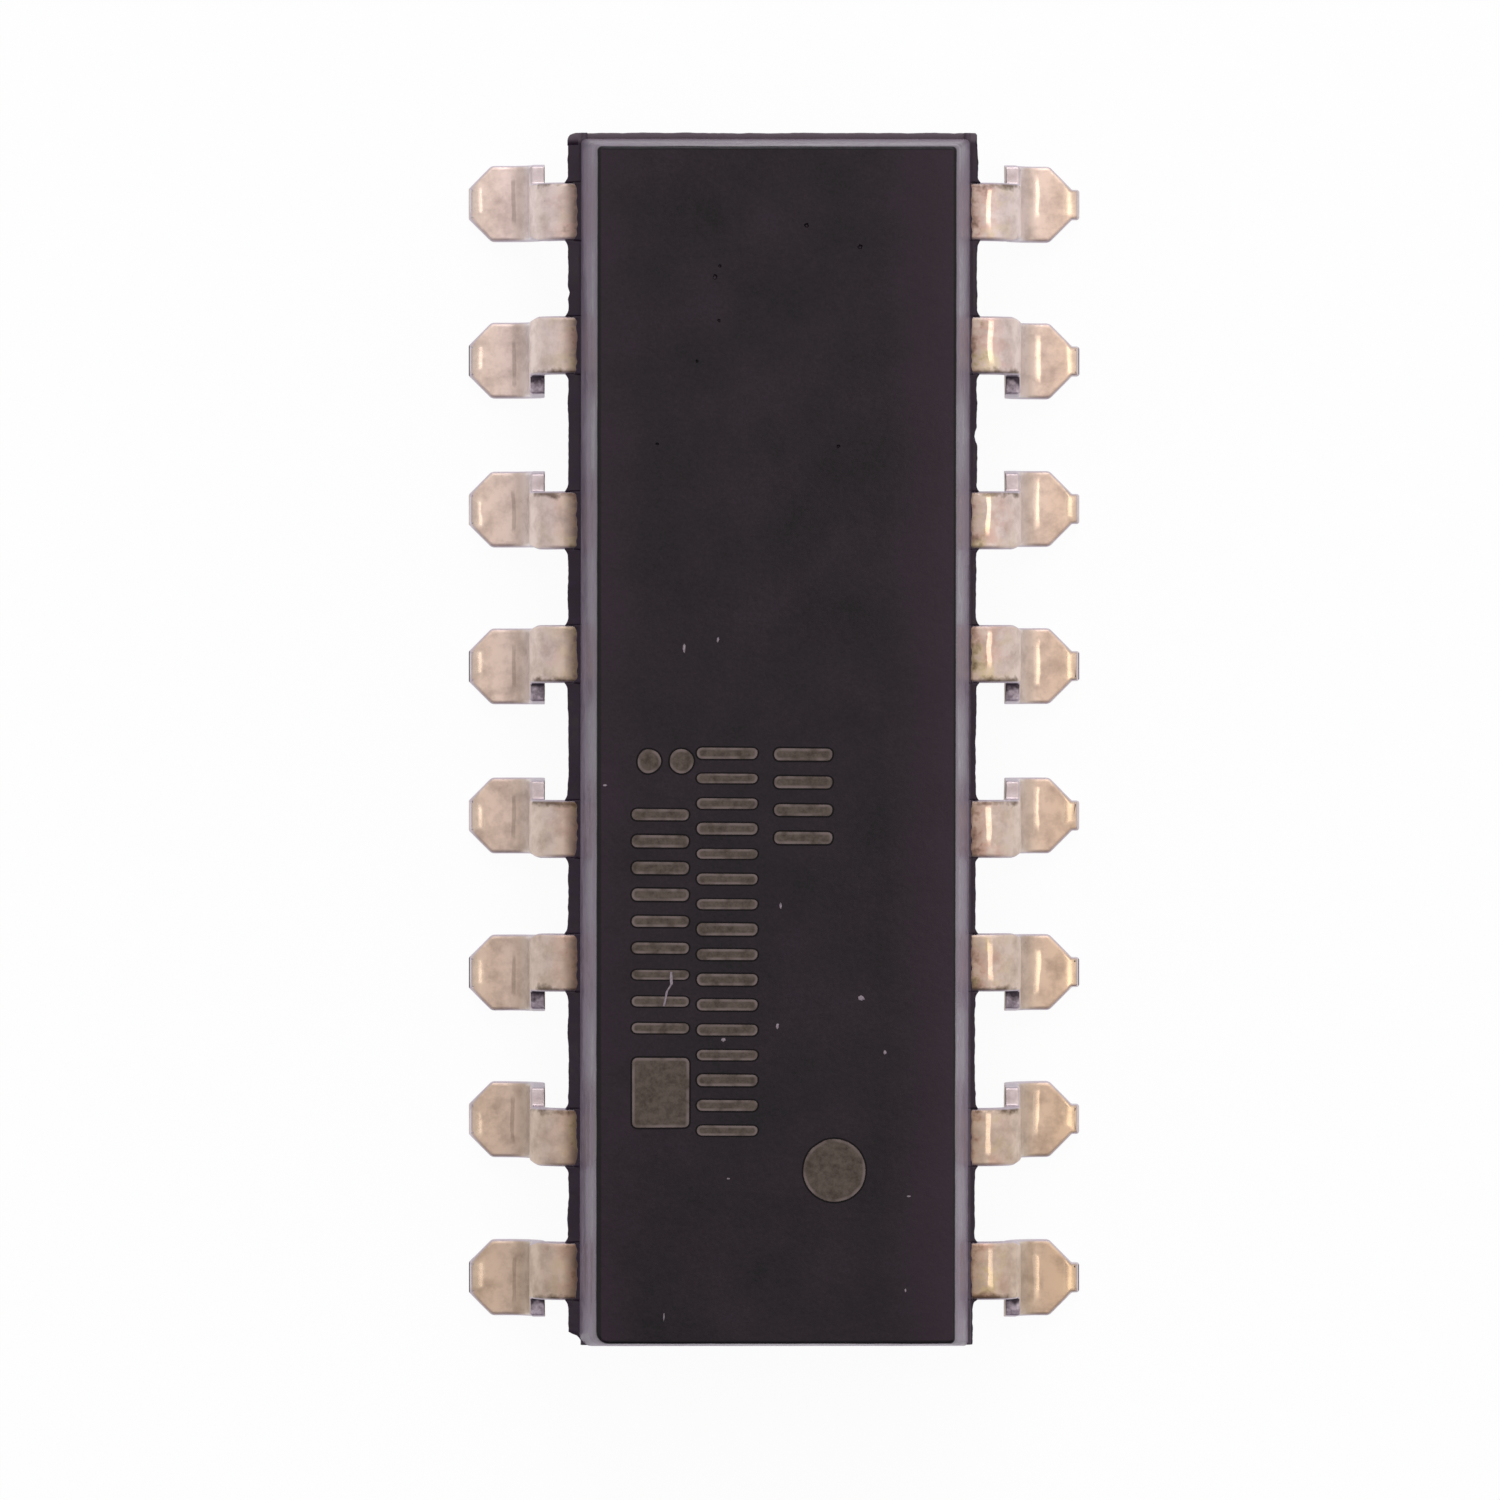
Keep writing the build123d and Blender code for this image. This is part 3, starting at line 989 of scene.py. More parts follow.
        # the lead leans sideways by a hair, more towards its foot
        reach = put("MapRange", (beyond, 0.0, 3.0 * MM))
        lean = put("Math", (
            reach, given["Sideways set"], given["Channel place"]
        ), operation="MULTIPLY_ADD")
        x = put("Math", (at["X"], given["Row side"]), operation="MULTIPLY")
        y = put("Math", (split["Y"], given["Hand"], lean), operation="MULTIPLY_ADD")
        standing = put("CombineXYZ", (x, y, at["Z"]))
        placed = put("GeometryNodeSetPosition", {"Geometry": given["Blank"], "Position": standing})
        turned = put("Math", (given["Row side"], given["Hand"]), operation="MULTIPLY")
        inside_out = put(
            "FunctionNodeCompare", {"A": turned, "B": 0.0}, data_type="FLOAT", operation="LESS_THAN"
        )
        righted = put("GeometryNodeFlipFaces", {"Mesh": placed, "Selection": inside_out})
        cut = put("GeometryNodeInputMaterialIndex")
        sheared = put("FunctionNodeCompare", {2: cut, 3: 1}, data_type="INT", operation="EQUAL")
        kept = put("GeometryNodeStoreNamedAttribute", {
            "Geometry": righted, "Name": "sheared", "Value": sheared
        }, data_type="BOOLEAN", domain="FACE")
        whole = put("GeometryNodeRealizeInstances", {"Geometry": kept})
        plated = put("GeometryNodeSetMaterial", {"Geometry": whole, "Material": given["Tin plate"]})
        bare = put("GeometryNodeInputNamedAttribute", {"Name": "sheared"}, data_type="BOOLEAN")
        cut_edges = put("GeometryNodeSetMaterial", {
            "Geometry": plated, "Selection": bare, "Material": given["Sheared edge"]
        })
        put("NodeGroupOutput", {"Lead": cut_edges})
        return tree

    def build(self) -> None:
        """Stamp the four blanks and form each lead from its own."""
        tree = self.press()
        for role in Role:
            blank = self.blank(role)
            path = self.path(role)
            for channel in range(self.channels):
                self.form(role, channel, blank, path, tree)
            bpy.data.objects.remove(path)

    def form(self, role: Role, channel: int, blank: Mesh, path: Object, tree: Tree) -> None:
        """Form one lead and let it stand for its CAD node.

        Args:
            role: The lead's role.
            channel: Channel, counted from 0.
            blank: The role's flat blank.
            path: The role's forming path.
            tree: The forming tree.
        """
        pin = role.pin(channel, self.channels)
        node = f"pin_{pin:02d}_{role.word}"
        chance = random.Random(pin)
        lead = new_object(f"formed_{node}", blank)
        modifier = lead.modifiers.new("press", "NODES")
        modifier.node_group = tree
        set_inputs(modifier, {
            "Forming path": path, "Row side": float(role.row), "Hand": float(role.hand),
            "Channel place": (channel - (self.channels - 1) / 2) * 2 * self.pitch * MM,
            "Sideways set": chance.uniform(-self.sideways, self.sideways) * MM,
            "Wave height": self.wave_height * MM,
            "Wave length": self.wave_length * MM,
            "Wave start": self.along(role, self.wall + 0.1) * MM,
            "Seed": pin * 7.3 * MM, "Tin plate": self.plates[role.row],
            # the -Y side's cut edges get the darker material, painted with the neck's shade
            "Sheared edge": self.shear if role.hand > 0 else self.torn,
        })
        bake(lead)
        # the dies rubbed each lead at its own place
        slip = Vector([chance.uniform(-most, most) for most in (self.slip_along, self.slip_across)])
        for corner in lead.data.uv_layers["rubbed"].uv:
            corner.vector = corner.vector + slip
        finish_piece(lead, "tinned_lead", node)


def weigh_normals(piece: Object) -> None:
    """Shade a piece smooth with its large faces kept flat."""
    modifier = piece.modifiers.new("weighted", "WEIGHTED_NORMAL")
    modifier.mode = "FACE_AREA"
    modifier.weight = 80
    modifier.keep_sharp = True
    bake(piece)


# ---- body ----

@dataclass(frozen=True)
class Pit:
    """A small void in the moulded face: its place and radius."""

    x: float
    y: float
    radius: float


@dataclass
class MouldedBody:
    """Black outer mould with its parting-line flash, in millimetres."""

    length: float = 19.86
    width: float = 6.4
    middle_y: float = -0.02
    standoff: float = 0.15
    top: float = 3.8
    band_low: float = 1.85
    band_high: float = 2.1
    side_lean: float = 0.28
    first_end_lean: float = 0.145
    end_lean: float = 0.205
    aside: float = -0.017
    yaw: float = 0.0014
    corner: float = 0.08
    worn_corner: float = 0.2
    rim: float = 0.035
    wall_foot: float = 0.05
    ledge: float = 0.095
    far_ledge: float = 0.22
    broken_ledge: float = 0.072
    end_ledge: float = 0.1
    ledge_corner: float = 0.125
    sharp_corner: float = 0.03
    bite_radius: float = 0.185
    broken_below: float = -9.2
    step: float = 0.12
    flash_edge: float = 0.022
    climb: float = 0.05
    climb_run: float = 0.045
    climb_power: float = 1.3
    film: float = 0.004
    nicks: tuple[tuple[int, float, float, float], ...] = (
        (1, 5.02, 0.13, 0.045), (-1, 7.39, 0.1, 0.03)
    )
    ejector_radius: float = 0.6
    ejector_depth: float = 0.04
    ejector_places: tuple[float, ...] = (-5.08, 5.08)
    pits: tuple[Pit, ...] = ()
    epoxy: Material | None = None

    def ring(self, build: Build, share: float, back: float, z: float, ragged: float) -> list[Vert]:
        """One level loop round the body.

        Args:
            build: Mesh that gets the points.
            share: How much of the walls' lean it has, from 0 at the band to 1 at a face.
            back: How far it stands further in, all round.
            z: Its height.
            ragged: How far its edge wanders.

        Returns:
            Its points, counter-clockwise from the +X side of the -Y end.
        """
        half_x = self.width / 2 - self.side_lean * share - back
        half_y = self.length / 2 - (self.first_end_lean + self.end_lean) / 2 * share - back
        middle = self.middle_y + (self.first_end_lean - self.end_lean) / 2 * share
        arcs = [
            [
                (
                    x - math.copysign(radius, x) + radius * math.cos(angle),
                    y - math.copysign(radius, y) + radius * math.sin(angle),
                )
                for angle in (math.radians(start + 90 * turn / 6) for turn in range(7))
            ]
            for x, y, radius, start in (
                (half_x, -half_y, self.corner, -90), (half_x, half_y, self.corner, 0),
                (-half_x, half_y, self.corner, 90), (-half_x, -half_y, self.worn_corner, 180),
            )
        ]
        points: list[Pair] = []
        for arc, following, side in zip(arcs, arcs[1:] + arcs[:1], (self.length, self.width) * 2):
            (x, y), (end_x, end_y) = (arc[-1], following[0])
            count = round(side / self.step)
            shares = [mark / count for mark in range(1, count)]
            points += arc + [(x + (end_x - x) * part, y + (end_y - y) * part) for part in shares]
        loop = []
        for x, y in points:
            wander = noise.noise(Vector((x * 1.7, y * 1.7, z * 3))) * ragged
            out = Vector((x / half_x, y / half_y))
            if abs(out.x) > 0.98:
                x += math.copysign(wander, x)
            if abs(out.y) > 0.98:
                y += math.copysign(wander, y)
            # the mould's cavity sat askew of the leads by a hair
            loop.append((x + (self.aside + self.yaw * y), y + middle, z))
        return add_points(build, loop)

    def levels(self) -> list[Four]:
        """Profile of the wall from the underside up.

        Returns:
            Share of the lean, further inset, height and raggedness of each loop.
        """
        turns = [math.radians(90 * turn / 3) for turn in range(4)]
        rims = [
            (self.rim * (1 - math.sin(turn)), self.rim * (1 - math.cos(turn))) for turn in turns
        ]
        low_run = self.band_low - self.standoff
        high_run = self.top - self.band_high
        rows = [(1 - up / low_run, back, self.standoff + up, 0.006) for back, up in rims]
        rows += [(share, 0, self.band_low - low_run * share, 0.004) for share in (0.7, 0.35, 0)]
        rows += [
            (share, 0, self.band_high + high_run * share, 0.004) for share in (0, 0.06, 0.35, 0.7)
        ]
        rows += [(1 - down / high_run, back, self.top - down, 0.008) for back, down in rims[::-1]]
        return rows

    def shell(self, build: Build) -> None:
        """Loft the body and close it, with the voids sunk into its top."""
        loops = [self.ring(build, *row) for row in self.levels()]
        wrap(build, loops)
        sole, top = (edges_of(build, loops[0]), edges_of(build, loops[-1]))
        for place in self.ejector_places:
            sole += self.press_in(build, place)
        for pit in self.pits:
            top += self.sink(build, pit)
        for edges in (sole, top):
            skin = bmesh.ops.triangle_fill(build, use_beauty=True, use_dissolve=False, edges=edges)
            for face in skin["geom"]:
                if isinstance(face, bmesh.types.BMFace):
                    face.material_index = 1

    def press_in(self, build: Build, place: float) -> list[Edge]:
        """Press one ejector pin's shallow round into the underside.

        Args:
            build: Mesh that gets the round.
            place: Its middle along Y.

        Returns:
            The edges of its mouth.
        """
        soft = 0.012
        radius, depth = self.ejector_radius, self.ejector_depth
        rings = [
            add_points(
                build, [(reach * x, place + reach * y, self.standoff + up) for x, y in spokes(40)]
            )
            for reach, up in (
                (radius + soft, 0), (radius, soft), (radius, depth - soft), (radius - soft, depth)
            )
        ]
        wrap(build, rings)
        build.faces.new(rings[-1])
        return edges_of(build, rings[0])

    def sink(self, build: Build, pit: Pit) -> list[Edge]:
        """Sink one void's bowl.

        Args:
            build: Mesh that gets the bowl.
            pit: The void.

        Returns:
            The edges of its mouth.
        """
        shape = random.Random(round(pit.x * 100) * 31 + round(pit.y * 100))
        rim = [(x, y, pit.radius * shape.uniform(0.75, 1.2)) for x, y in spokes(10)]
        rings = [
            add_points(build, [
                (
                    pit.x + share * reach * x, pit.y + share * reach * y,
                    self.top - depth * pit.radius,
                )
                for x, y, reach in rim
            ])
            for share, depth in ((1, 0), (0.8, 0.7), (0.35, 1.1))
        ]
        wrap(build, rings)
        build.faces.new(rings[-1])
        return edges_of(build, rings[0])

    def flash(self, build: Build, frame_sizes: LeadFrame) -> None:
        """Lay the strips of flash between the necks and past one end, and the resin on the necks.

        Args:
            build: Mesh that gets them.
            frame_sizes: The lead frame, which says where the necks stand.
        """
        low, high = frame_sizes.neck
        necks = []
        for channel in range(frame_sizes.channels):
            place = (channel - (frame_sizes.channels - 1) / 2) * 2 * frame_sizes.pitch
            necks += [(place - high, place - low), (place + low, place + high)]
        end = self.length / 2
        starts = [-end + self.middle_y + 0.02] + [neck[1] for neck in necks]
        stops = [neck[0] for neck in necks] + [end + self.middle_y + self.end_ledge]
        for side in (1, -1):
            for start, stop in zip(starts, stops):
                self.strip(build, side, start, stop, (start > starts[0], stop < stops[-1]))
            for start, stop in necks:
                self.creep(build, side, start, stop)
        self.end_strip(build)

    def edge_of_flash(self, side: int, y: float) -> float:
        """How far the flash reaches from the body's middle plane at this place along it."""
        reach = self.width / 2 + (self.ledge if side > 0 else self.far_ledge)
        reach += noise.noise(Vector((side * 9.1, y * 3.0, 1.7))) * 0.018
        reach += noise.noise(Vector((side * 5.3, y * 13.0, 4.1))) * 0.008
        for nick_side, place, half_length, depth in self.nicks:
            share = abs(y - place) / half_length
            if nick_side == side and share < 1:
                reach -= depth * (1 - share) ** 0.7
        if side > 0 and y < self.broken_below:
            reach -= self.ledge - self.broken_ledge
        # the +X row's die was set askew by a hair
        return reach + (0.0027 * y if side > 0 else 0)

    def strip(
        self, build: Build, side: int, start: float, stop: float, at_neck: tuple[bool, bool]
    ) -> None:
        """Loft one strip of flash along a side.

        Args:
            build: Mesh that gets the strip.
            side: 1 for +X, -1 for -X.
            start: Where it begins along Y.
            stop: Where it ends.
            at_neck: Whether each end meets a neck, and so creeps out along it.
        """
        count = max(8, round((stop - start) / 0.03))
        wall = self.width / 2
        rings = []
        for mark in range(count + 1):
            y = start + (stop - start) * mark / count
            outer = self.edge_of_flash(side, y)
            for meets, gap in ((at_neck[0], y - start), (at_neck[1], stop - y)):
                if meets:
                    outer += self.climb * math.exp(-(gap / self.climb_run) ** self.climb_power)
            if not at_neck[1]:
                radius = self.sharp_corner if side > 0 else self.ledge_corner
                outer -= round_off(stop - y, radius)
            if not at_neck[0] and side < 0:
                outer = min(outer, wall + bite(y - start, self.bite_radius))
            edge = self.flash_edge
            lift = noise.noise(Vector((side * 2.7, y * 3.1, 8.0))) * 0.008
            low, high, root = self.band_low, self.band_high + lift, self.wall_foot
            inner = wall - 0.1
            section = (
                (inner, low - root), (wall - 0.01, low - root),
                (wall + root * 0.3, low - root * 0.3), (min(wall + root, outer - edge * 1.5), low),
                (outer - edge, low), (outer, low + edge), (outer, high - edge * 1.3),
                (outer - edge * 0.4, high - edge * 0.4), (outer - edge * 1.3, high),
                (min(wall + root, outer - edge * 1.5), high),
                (wall + root * 0.3, high + root * 0.3), (wall - 0.01, high + root),
                (inner, high + root),
            )
            rings.append(add_points(build, [(side * x, y, z) for x, z in section]))
        bridge(build, rings, -side)

    def creep(self, build: Build, side: int, start: float, stop: float) -> None:
        """Lay the thin film of resin that crept over a neck's root, above and below.

        Args:
            build: Mesh that gets the film.
            side: 1 for +X, -1 for -X.
            start: The neck's lower edge along Y.
            stop: Its upper edge.
        """
        count = 26
        wall = self.width / 2
        for level, up in ((self.band_high, 1), (self.band_low, -1)):
            rings = []
            for mark in range(count + 1):
                y = start + (stop - start) * mark / count
                gap = min(y - start, stop - y)
                outer = wall + (0.02 if side > 0 else 0.075)
                outer += (0.02 if side > 0 else 0.05) * math.exp(-(gap / 0.05) ** self.climb_power)
                outer += noise.noise(Vector((side * 3.1, y * 9.0, up * 2.2))) * 0.03
                thin = self.film
                section = (
                    (wall - 0.1, 0.0), (outer, 0.0), (outer - 0.008, thin),
                    (wall + (outer - wall) * 0.5, thin * 2.5), (wall + 0.012, 0.03),
                    (wall - 0.01, 0.055), (wall - 0.1, 0.055),
                )
                rings.append(add_points(build, [(side * x, y, level + up * z) for x, z in section]))
            bridge(build, rings, -side * up)

    def end_strip(self, build: Build) -> None:
        """Loft the strip of flash past the +Y end."""
        count = 200
        right, left = (self.edge_of_flash(1, 9.9), -self.edge_of_flash(-1, 9.9))
        inner = self.length / 2 + self.middle_y - 0.1
        rings = []
        for mark in range(count + 1):
            x = right + (left - right) * mark / count
            outer = self.length / 2 + self.middle_y + self.end_ledge
            outer += noise.noise(Vector((x * 2.0, 3.3, 6.1))) * 0.014
            outer += noise.noise(Vector((x * 9.0, 7.3, 2.1))) * 0.006
            outer -= round_off(x - left, self.ledge_corner)
            outer -= round_off(right - x, self.sharp_corner)
            edge = 0.02
            section = (
                (inner, self.band_low), (outer - edge, self.band_low),
                (outer, self.band_low + edge), (outer, self.band_high - edge),
                (outer - edge * 0.3, self.band_high - edge * 0.3), (outer - edge, self.band_high),
                (inner, self.band_high),
            )
            rings.append(add_points(build, [(x, y, z) for y, z in section]))
        bridge(build, rings, -1)

    def build(self, frame_sizes: LeadFrame) -> None:
        """Make the body's mesh and let it stand for the CAD body.

        Args:
            frame_sizes: The lead frame, which says where the necks leave the body.
        """
        build = bmesh.new()
        self.shell(build)
        self.flash(build, frame_sizes)
        bmesh.ops.recalc_face_normals(build, faces=build.faces)
        # the flat top keeps its own normals, whatever stands at its edges
        for face in build.faces:
            face.smooth = face.material_index == 0
            face.material_index = 0
        piece = new_object("moulded_body", mesh_from("moulded_body", build))
        piece.data.materials.append(self.epoxy)
        weigh_normals(piece)
        finish_piece(piece, "black_epoxy", "outer_mould")


def round_off(gap: float, radius: float) -> float:
    """How much a rounded corner takes off an edge this far from the corner's other side."""
    short = max(0.0, radius - max(0.0, gap))
    return radius - math.sqrt(radius ** 2 - short ** 2)


def bite(gap: float, radius: float) -> float:
    """How far flash reaches past the wall, this far along from a bite out of its end."""
    return radius - math.sqrt(max(0.0, radius ** 2 - max(0.0, gap) ** 2)) + max(0.0, gap - radius)


# ---- marks and crumbs on the top face ----

@dataclass(frozen=True)
class BurntMark(Finish):
    """Epoxy turned to pale ash by a marking laser.

    It looks dry, grey-brown and finely speckled, with a lighter border where the beam turned.
    """

    border: str = "70645f"
    shade: str = "40372f"
    soot: str = "0c0709"
    grain: float = 0.11
    border_width: float = 0.055

    def detail(self, tree: Tree, shader: Node, place: Socket) -> None:
        """Speckle the ash, lighten its border and soot the resin just outside it."""
        put = partial(add_node, tree)
        depth = put("SeparateXYZ", (put("UVMap", uv_map="mark"),)).outputs["X"]
        grain = put("TexNoise", {
            "Vector": place, "Scale": per(self.grain), "Detail": 3.0, "Roughness": 0.7
        })
        near = put("MapRange", (depth, self.border_width * 0.5, self.border_width, 1.0, 0.0))
        patchy = put("TexNoise", {"Vector": place, "Scale": per(0.22), "Detail": 1.0})
        kept = put("MapRange", (patchy, 0.35, 0.6, 0.15, 1.0))
        spread = put("MapRange", (grain, 0.3, 0.62))
        bump = put("Bump", {"Height": grain, "Strength": 0.8, "Distance": 0.004 * MM})
        outside = put("Math", (depth, -0.001), operation="LESS_THAN")
        feed(
            shader, "Base Color",
            coated(tree, self.shade, (spread, self.colour), (
                product(tree, near, kept), self.border
            ), (outside, self.soot)),
        )
        feed(shader, "Normal", bump)


@dataclass(frozen=True)
class Ladder:
    """A row of plain rungs: its width across X, its run along Y and how many rungs it has."""

    low_x: float
    high_x: float
    start: float
    stop: float
    count: int


@dataclass
class LaserMarks:
    """Plain marks burnt into the top face, in millimetres."""

    top: float = 3.8
    proud: float = 0.002
    sunk: float = 0.02
    wander: float = 0.012
    halo: float = 0.03
    dots: tuple[Triple, ...] = ((0.93, -6.98, 0.51), (-2.09, -0.31, 0.195), (-1.56, -0.31, 0.195))
    block: Four = (-2.37, -1.44, -6.28, -5.14)
    ladders: tuple[Ladder, ...] = (
        Ladder(-2.37, -1.44, -4.66, -1.18, 9), Ladder(-1.31, -0.32, -6.33, -0.18, 16),
        Ladder(-0.05, 0.9, -1.56, -0.2, 4),
    )
    rung: float = 0.2
    ash: Material | None = None

    def pad(self, build: Build, points: list[Triple], pieces: int) -> None:
        """Add one closed pad, which stands a hair proud of the face.

        Args:
            build: Mesh that gets the pad.
            points: X, Y and radius of each corner, counter-clockwise.
            pieces: Straight pieces of each corner's arc.
        """
        layer = build.loops.layers.uv.verify()
        deepest = min(0.08, points[0][2] * 0.9)
        rows = (
            (-self.halo, -self.sunk), (-self.halo, self.proud * 0.3), (0.0, self.proud * 0.5),
            (0.006, self.proud), (deepest, self.proud),
        )
        rings = [
            add_points(build, [
                (x + drift, y - drift, z)
                for x, y in rounded(points, inset, pieces)
                for drift in [noise.noise(Vector((x * 5, y * 5, 3.7))) * self.wander]
            ])
            for inset, z in rows
        ]
        # each face's map says how deep inside the mark it lies
        for (near, _), (far, _), outer, inner in zip(rows, rows[1:], rings, rings[1:]):
            if inner is rings[2]:
                far = near
            for mark, corner in enumerate(outer):
                face = build.faces.new((outer[mark - 1], corner, inner[mark], inner[mark - 1]))
                for loop, depth in zip(face.loops, (near, near, far, far)):
                    loop[layer].uv = (depth, 0)
        for cap, depth in ((rings[0][::-1], -self.halo), (rings[-1], deepest)):
            for loop in build.faces.new(cap).loops:
                loop[layer].uv = (depth, 0)

    def rows(self) -> Tree:
        """The tree that repeats one rung along a line, each as thick as chance makes it.

        Returns:
            A Geometry Nodes tree with named inputs.
        """
        tree, given = new_group("burn_rungs", "Rungs", {
            "Rung": "Geometry", "Count": "Int", "Start": "Vector", "Step": "Vector",
            "Thinnest": "Float", "Seed": "Int", "Ash": "Material",
        })
        put = partial(add_node, tree)
        line = put("GeometryNodeMeshLine", {
            "Count": given["Count"], "Start Location": given["Start"], "Offset": given["Step"]
        })
        thickness = put(
            "FunctionNodeRandomValue", {2: given["Thinnest"], 3: 1.0, "Seed": given["Seed"]}
        )
        size = put("CombineXYZ", (1.0, thickness.outputs[1], 1.0))
        rungs = put("GeometryNodeInstanceOnPoints", {
            "Points": line, "Instance": given["Rung"], "Scale": size
        })
        whole = put("GeometryNodeRealizeInstances", {"Geometry": rungs})
        burnt = put("GeometryNodeSetMaterial", {"Geometry": whole, "Material": given["Ash"]})
        put("NodeGroupOutput", {"Rungs": burnt})
        return tree

    def build(self) -> None:
        """Burn the dots, the block and the rows of rungs."""
        build = bmesh.new()
        build.loops.layers.uv.new("mark")
        for x, y, radius in self.dots:
            corners = [(x + a * radius, y + b * radius, radius) for a, b in SQUARE]
            self.pad(build, corners, 10)
        low_x, high_x, low_y, high_y = self.block
        middle = ((low_x + high_x) / 2, (low_y + high_y) / 2)
        half = ((high_x - low_x) / 2, (high_y - low_y) / 2)
        self.pad(build, [
            (middle[0] + a * half[0], middle[1] + b * half[1], 0.09) for a, b in SQUARE
        ], 4)
        bmesh.ops.translate(build, verts=build.verts, vec=(0, 0, self.top * MM))
        solid = new_object("laser_dots", mesh_from("laser_dots", build))
        solid.data.materials.append(self.ash)
        finish_piece(solid, "laser_mark")

        tree = self.rows()
        for number, ladder in enumerate(self.ladders, 1):
            build = bmesh.new()
            build.loops.layers.uv.new("mark")
            half_x = (ladder.high_x - ladder.low_x) / 2
            self.pad(build, [(a * half_x, b * self.rung / 2, 0.09) for a, b in SQUARE], 4)
            name = f"laser_rungs_{number}"
            rungs = new_object(name, mesh_from(name, build))
            modifier = rungs.modifiers.new("rungs", "NODES")
            modifier.node_group = tree
            step = (ladder.stop - ladder.start) / max(1, ladder.count - 1)
            set_inputs(modifier, {
                "Count": ladder.count,
                "Start": (
                    (ladder.low_x + ladder.high_x) / 2 * MM, ladder.start * MM, self.top * MM
                ),
                "Step": (0.0, step * MM, 0.0), "Thinnest": 0.75, "Seed": number, "Ash": self.ash,
            })
            bake(rungs)
            finish_piece(rungs, "laser_mark")


@dataclass
class Crumbs:
    """Chips of flash and one fibre that lie on the top face, in millimetres."""

    top: float = 3.8
    thickness: float = 0.015
    places: tuple[Four, ...] = (
        (1.37, -4.17, 0.055, 0.045), (1.75, -5.06, 0.03, 0.04), (2.14, -7.4, 0.04, 0.018),
        (2.09, -8.94, 0.018, 0.03), (0.0, -4.63, 0.028, 0.055), (-0.88, -4.85, 0.05, 0.04),
        (-0.8, -7.11, 0.03, 0.022), (0.05, -2.67, 0.024, 0.055), (-1.85, -9.36, 0.014, 0.08),
        (-2.81, -0.7, 0.04, 0.025), (-1.52, 1.53, 0.028, 0.07), (-0.97, 1.67, 0.02, 0.05),
    )
    fibre: tuple[Pair, ...] = ((-1.73, -3.74), (-1.72, -3.93), (-1.8, -4.06), (-1.85, -4.3))
    fibre_width: float = 0.034
    dust: Material | None = None

    def build(self) -> None:
        """Lay the chips and the fibre on the face as one piece."""
        build = bmesh.new()
        chance = random.Random(11)
        for x, y, half_x, half_y in self.places:
            count = chance.choice((5, 6, 7))
            start = chance.uniform(0, math.pi)
            self.slab(build, [
                (x + half_x * reach * out_x, y + half_y * reach * out_y)
                for out_x, out_y in spokes(count, start)
                for reach in [chance.uniform(0.7, 1.15)]
            ])
        half = self.fibre_width / 2
        self.slab(build, [(x - half, y) for x, y in self.fibre] + [
            (x + half, y) for x, y in self.fibre[::-1]
        ])
        piece = new_object("crumbs", mesh_from("crumbs", build))
        piece.data.materials.append(self.dust)
        finish_piece(piece, "white_epoxy")

    def slab(self, build: Build, outline: list[Pair]) -> None:
        """Add one thin closed chip, narrower above than below.

        Args:
            build: Mesh that gets the chip.
            outline: Its outline on the face, counter-clockwise.
        """
        middle = Vector((sum(x for x, _ in outline), sum(y for _, y in outline))) / len(outline)
        rings = [
            add_points(build, [
                (*middle + (Vector(point) - middle) * share, self.top + z) for point in outline
            ])
            for share, z in ((1.0, -0.003), (1.0, self.thickness * 0.5), (0.7, self.thickness))
        ]
        wrap(build, rings)
        build.faces.new(rings[0][::-1])
        build.faces.new(rings[-1])


# ---- studio ----

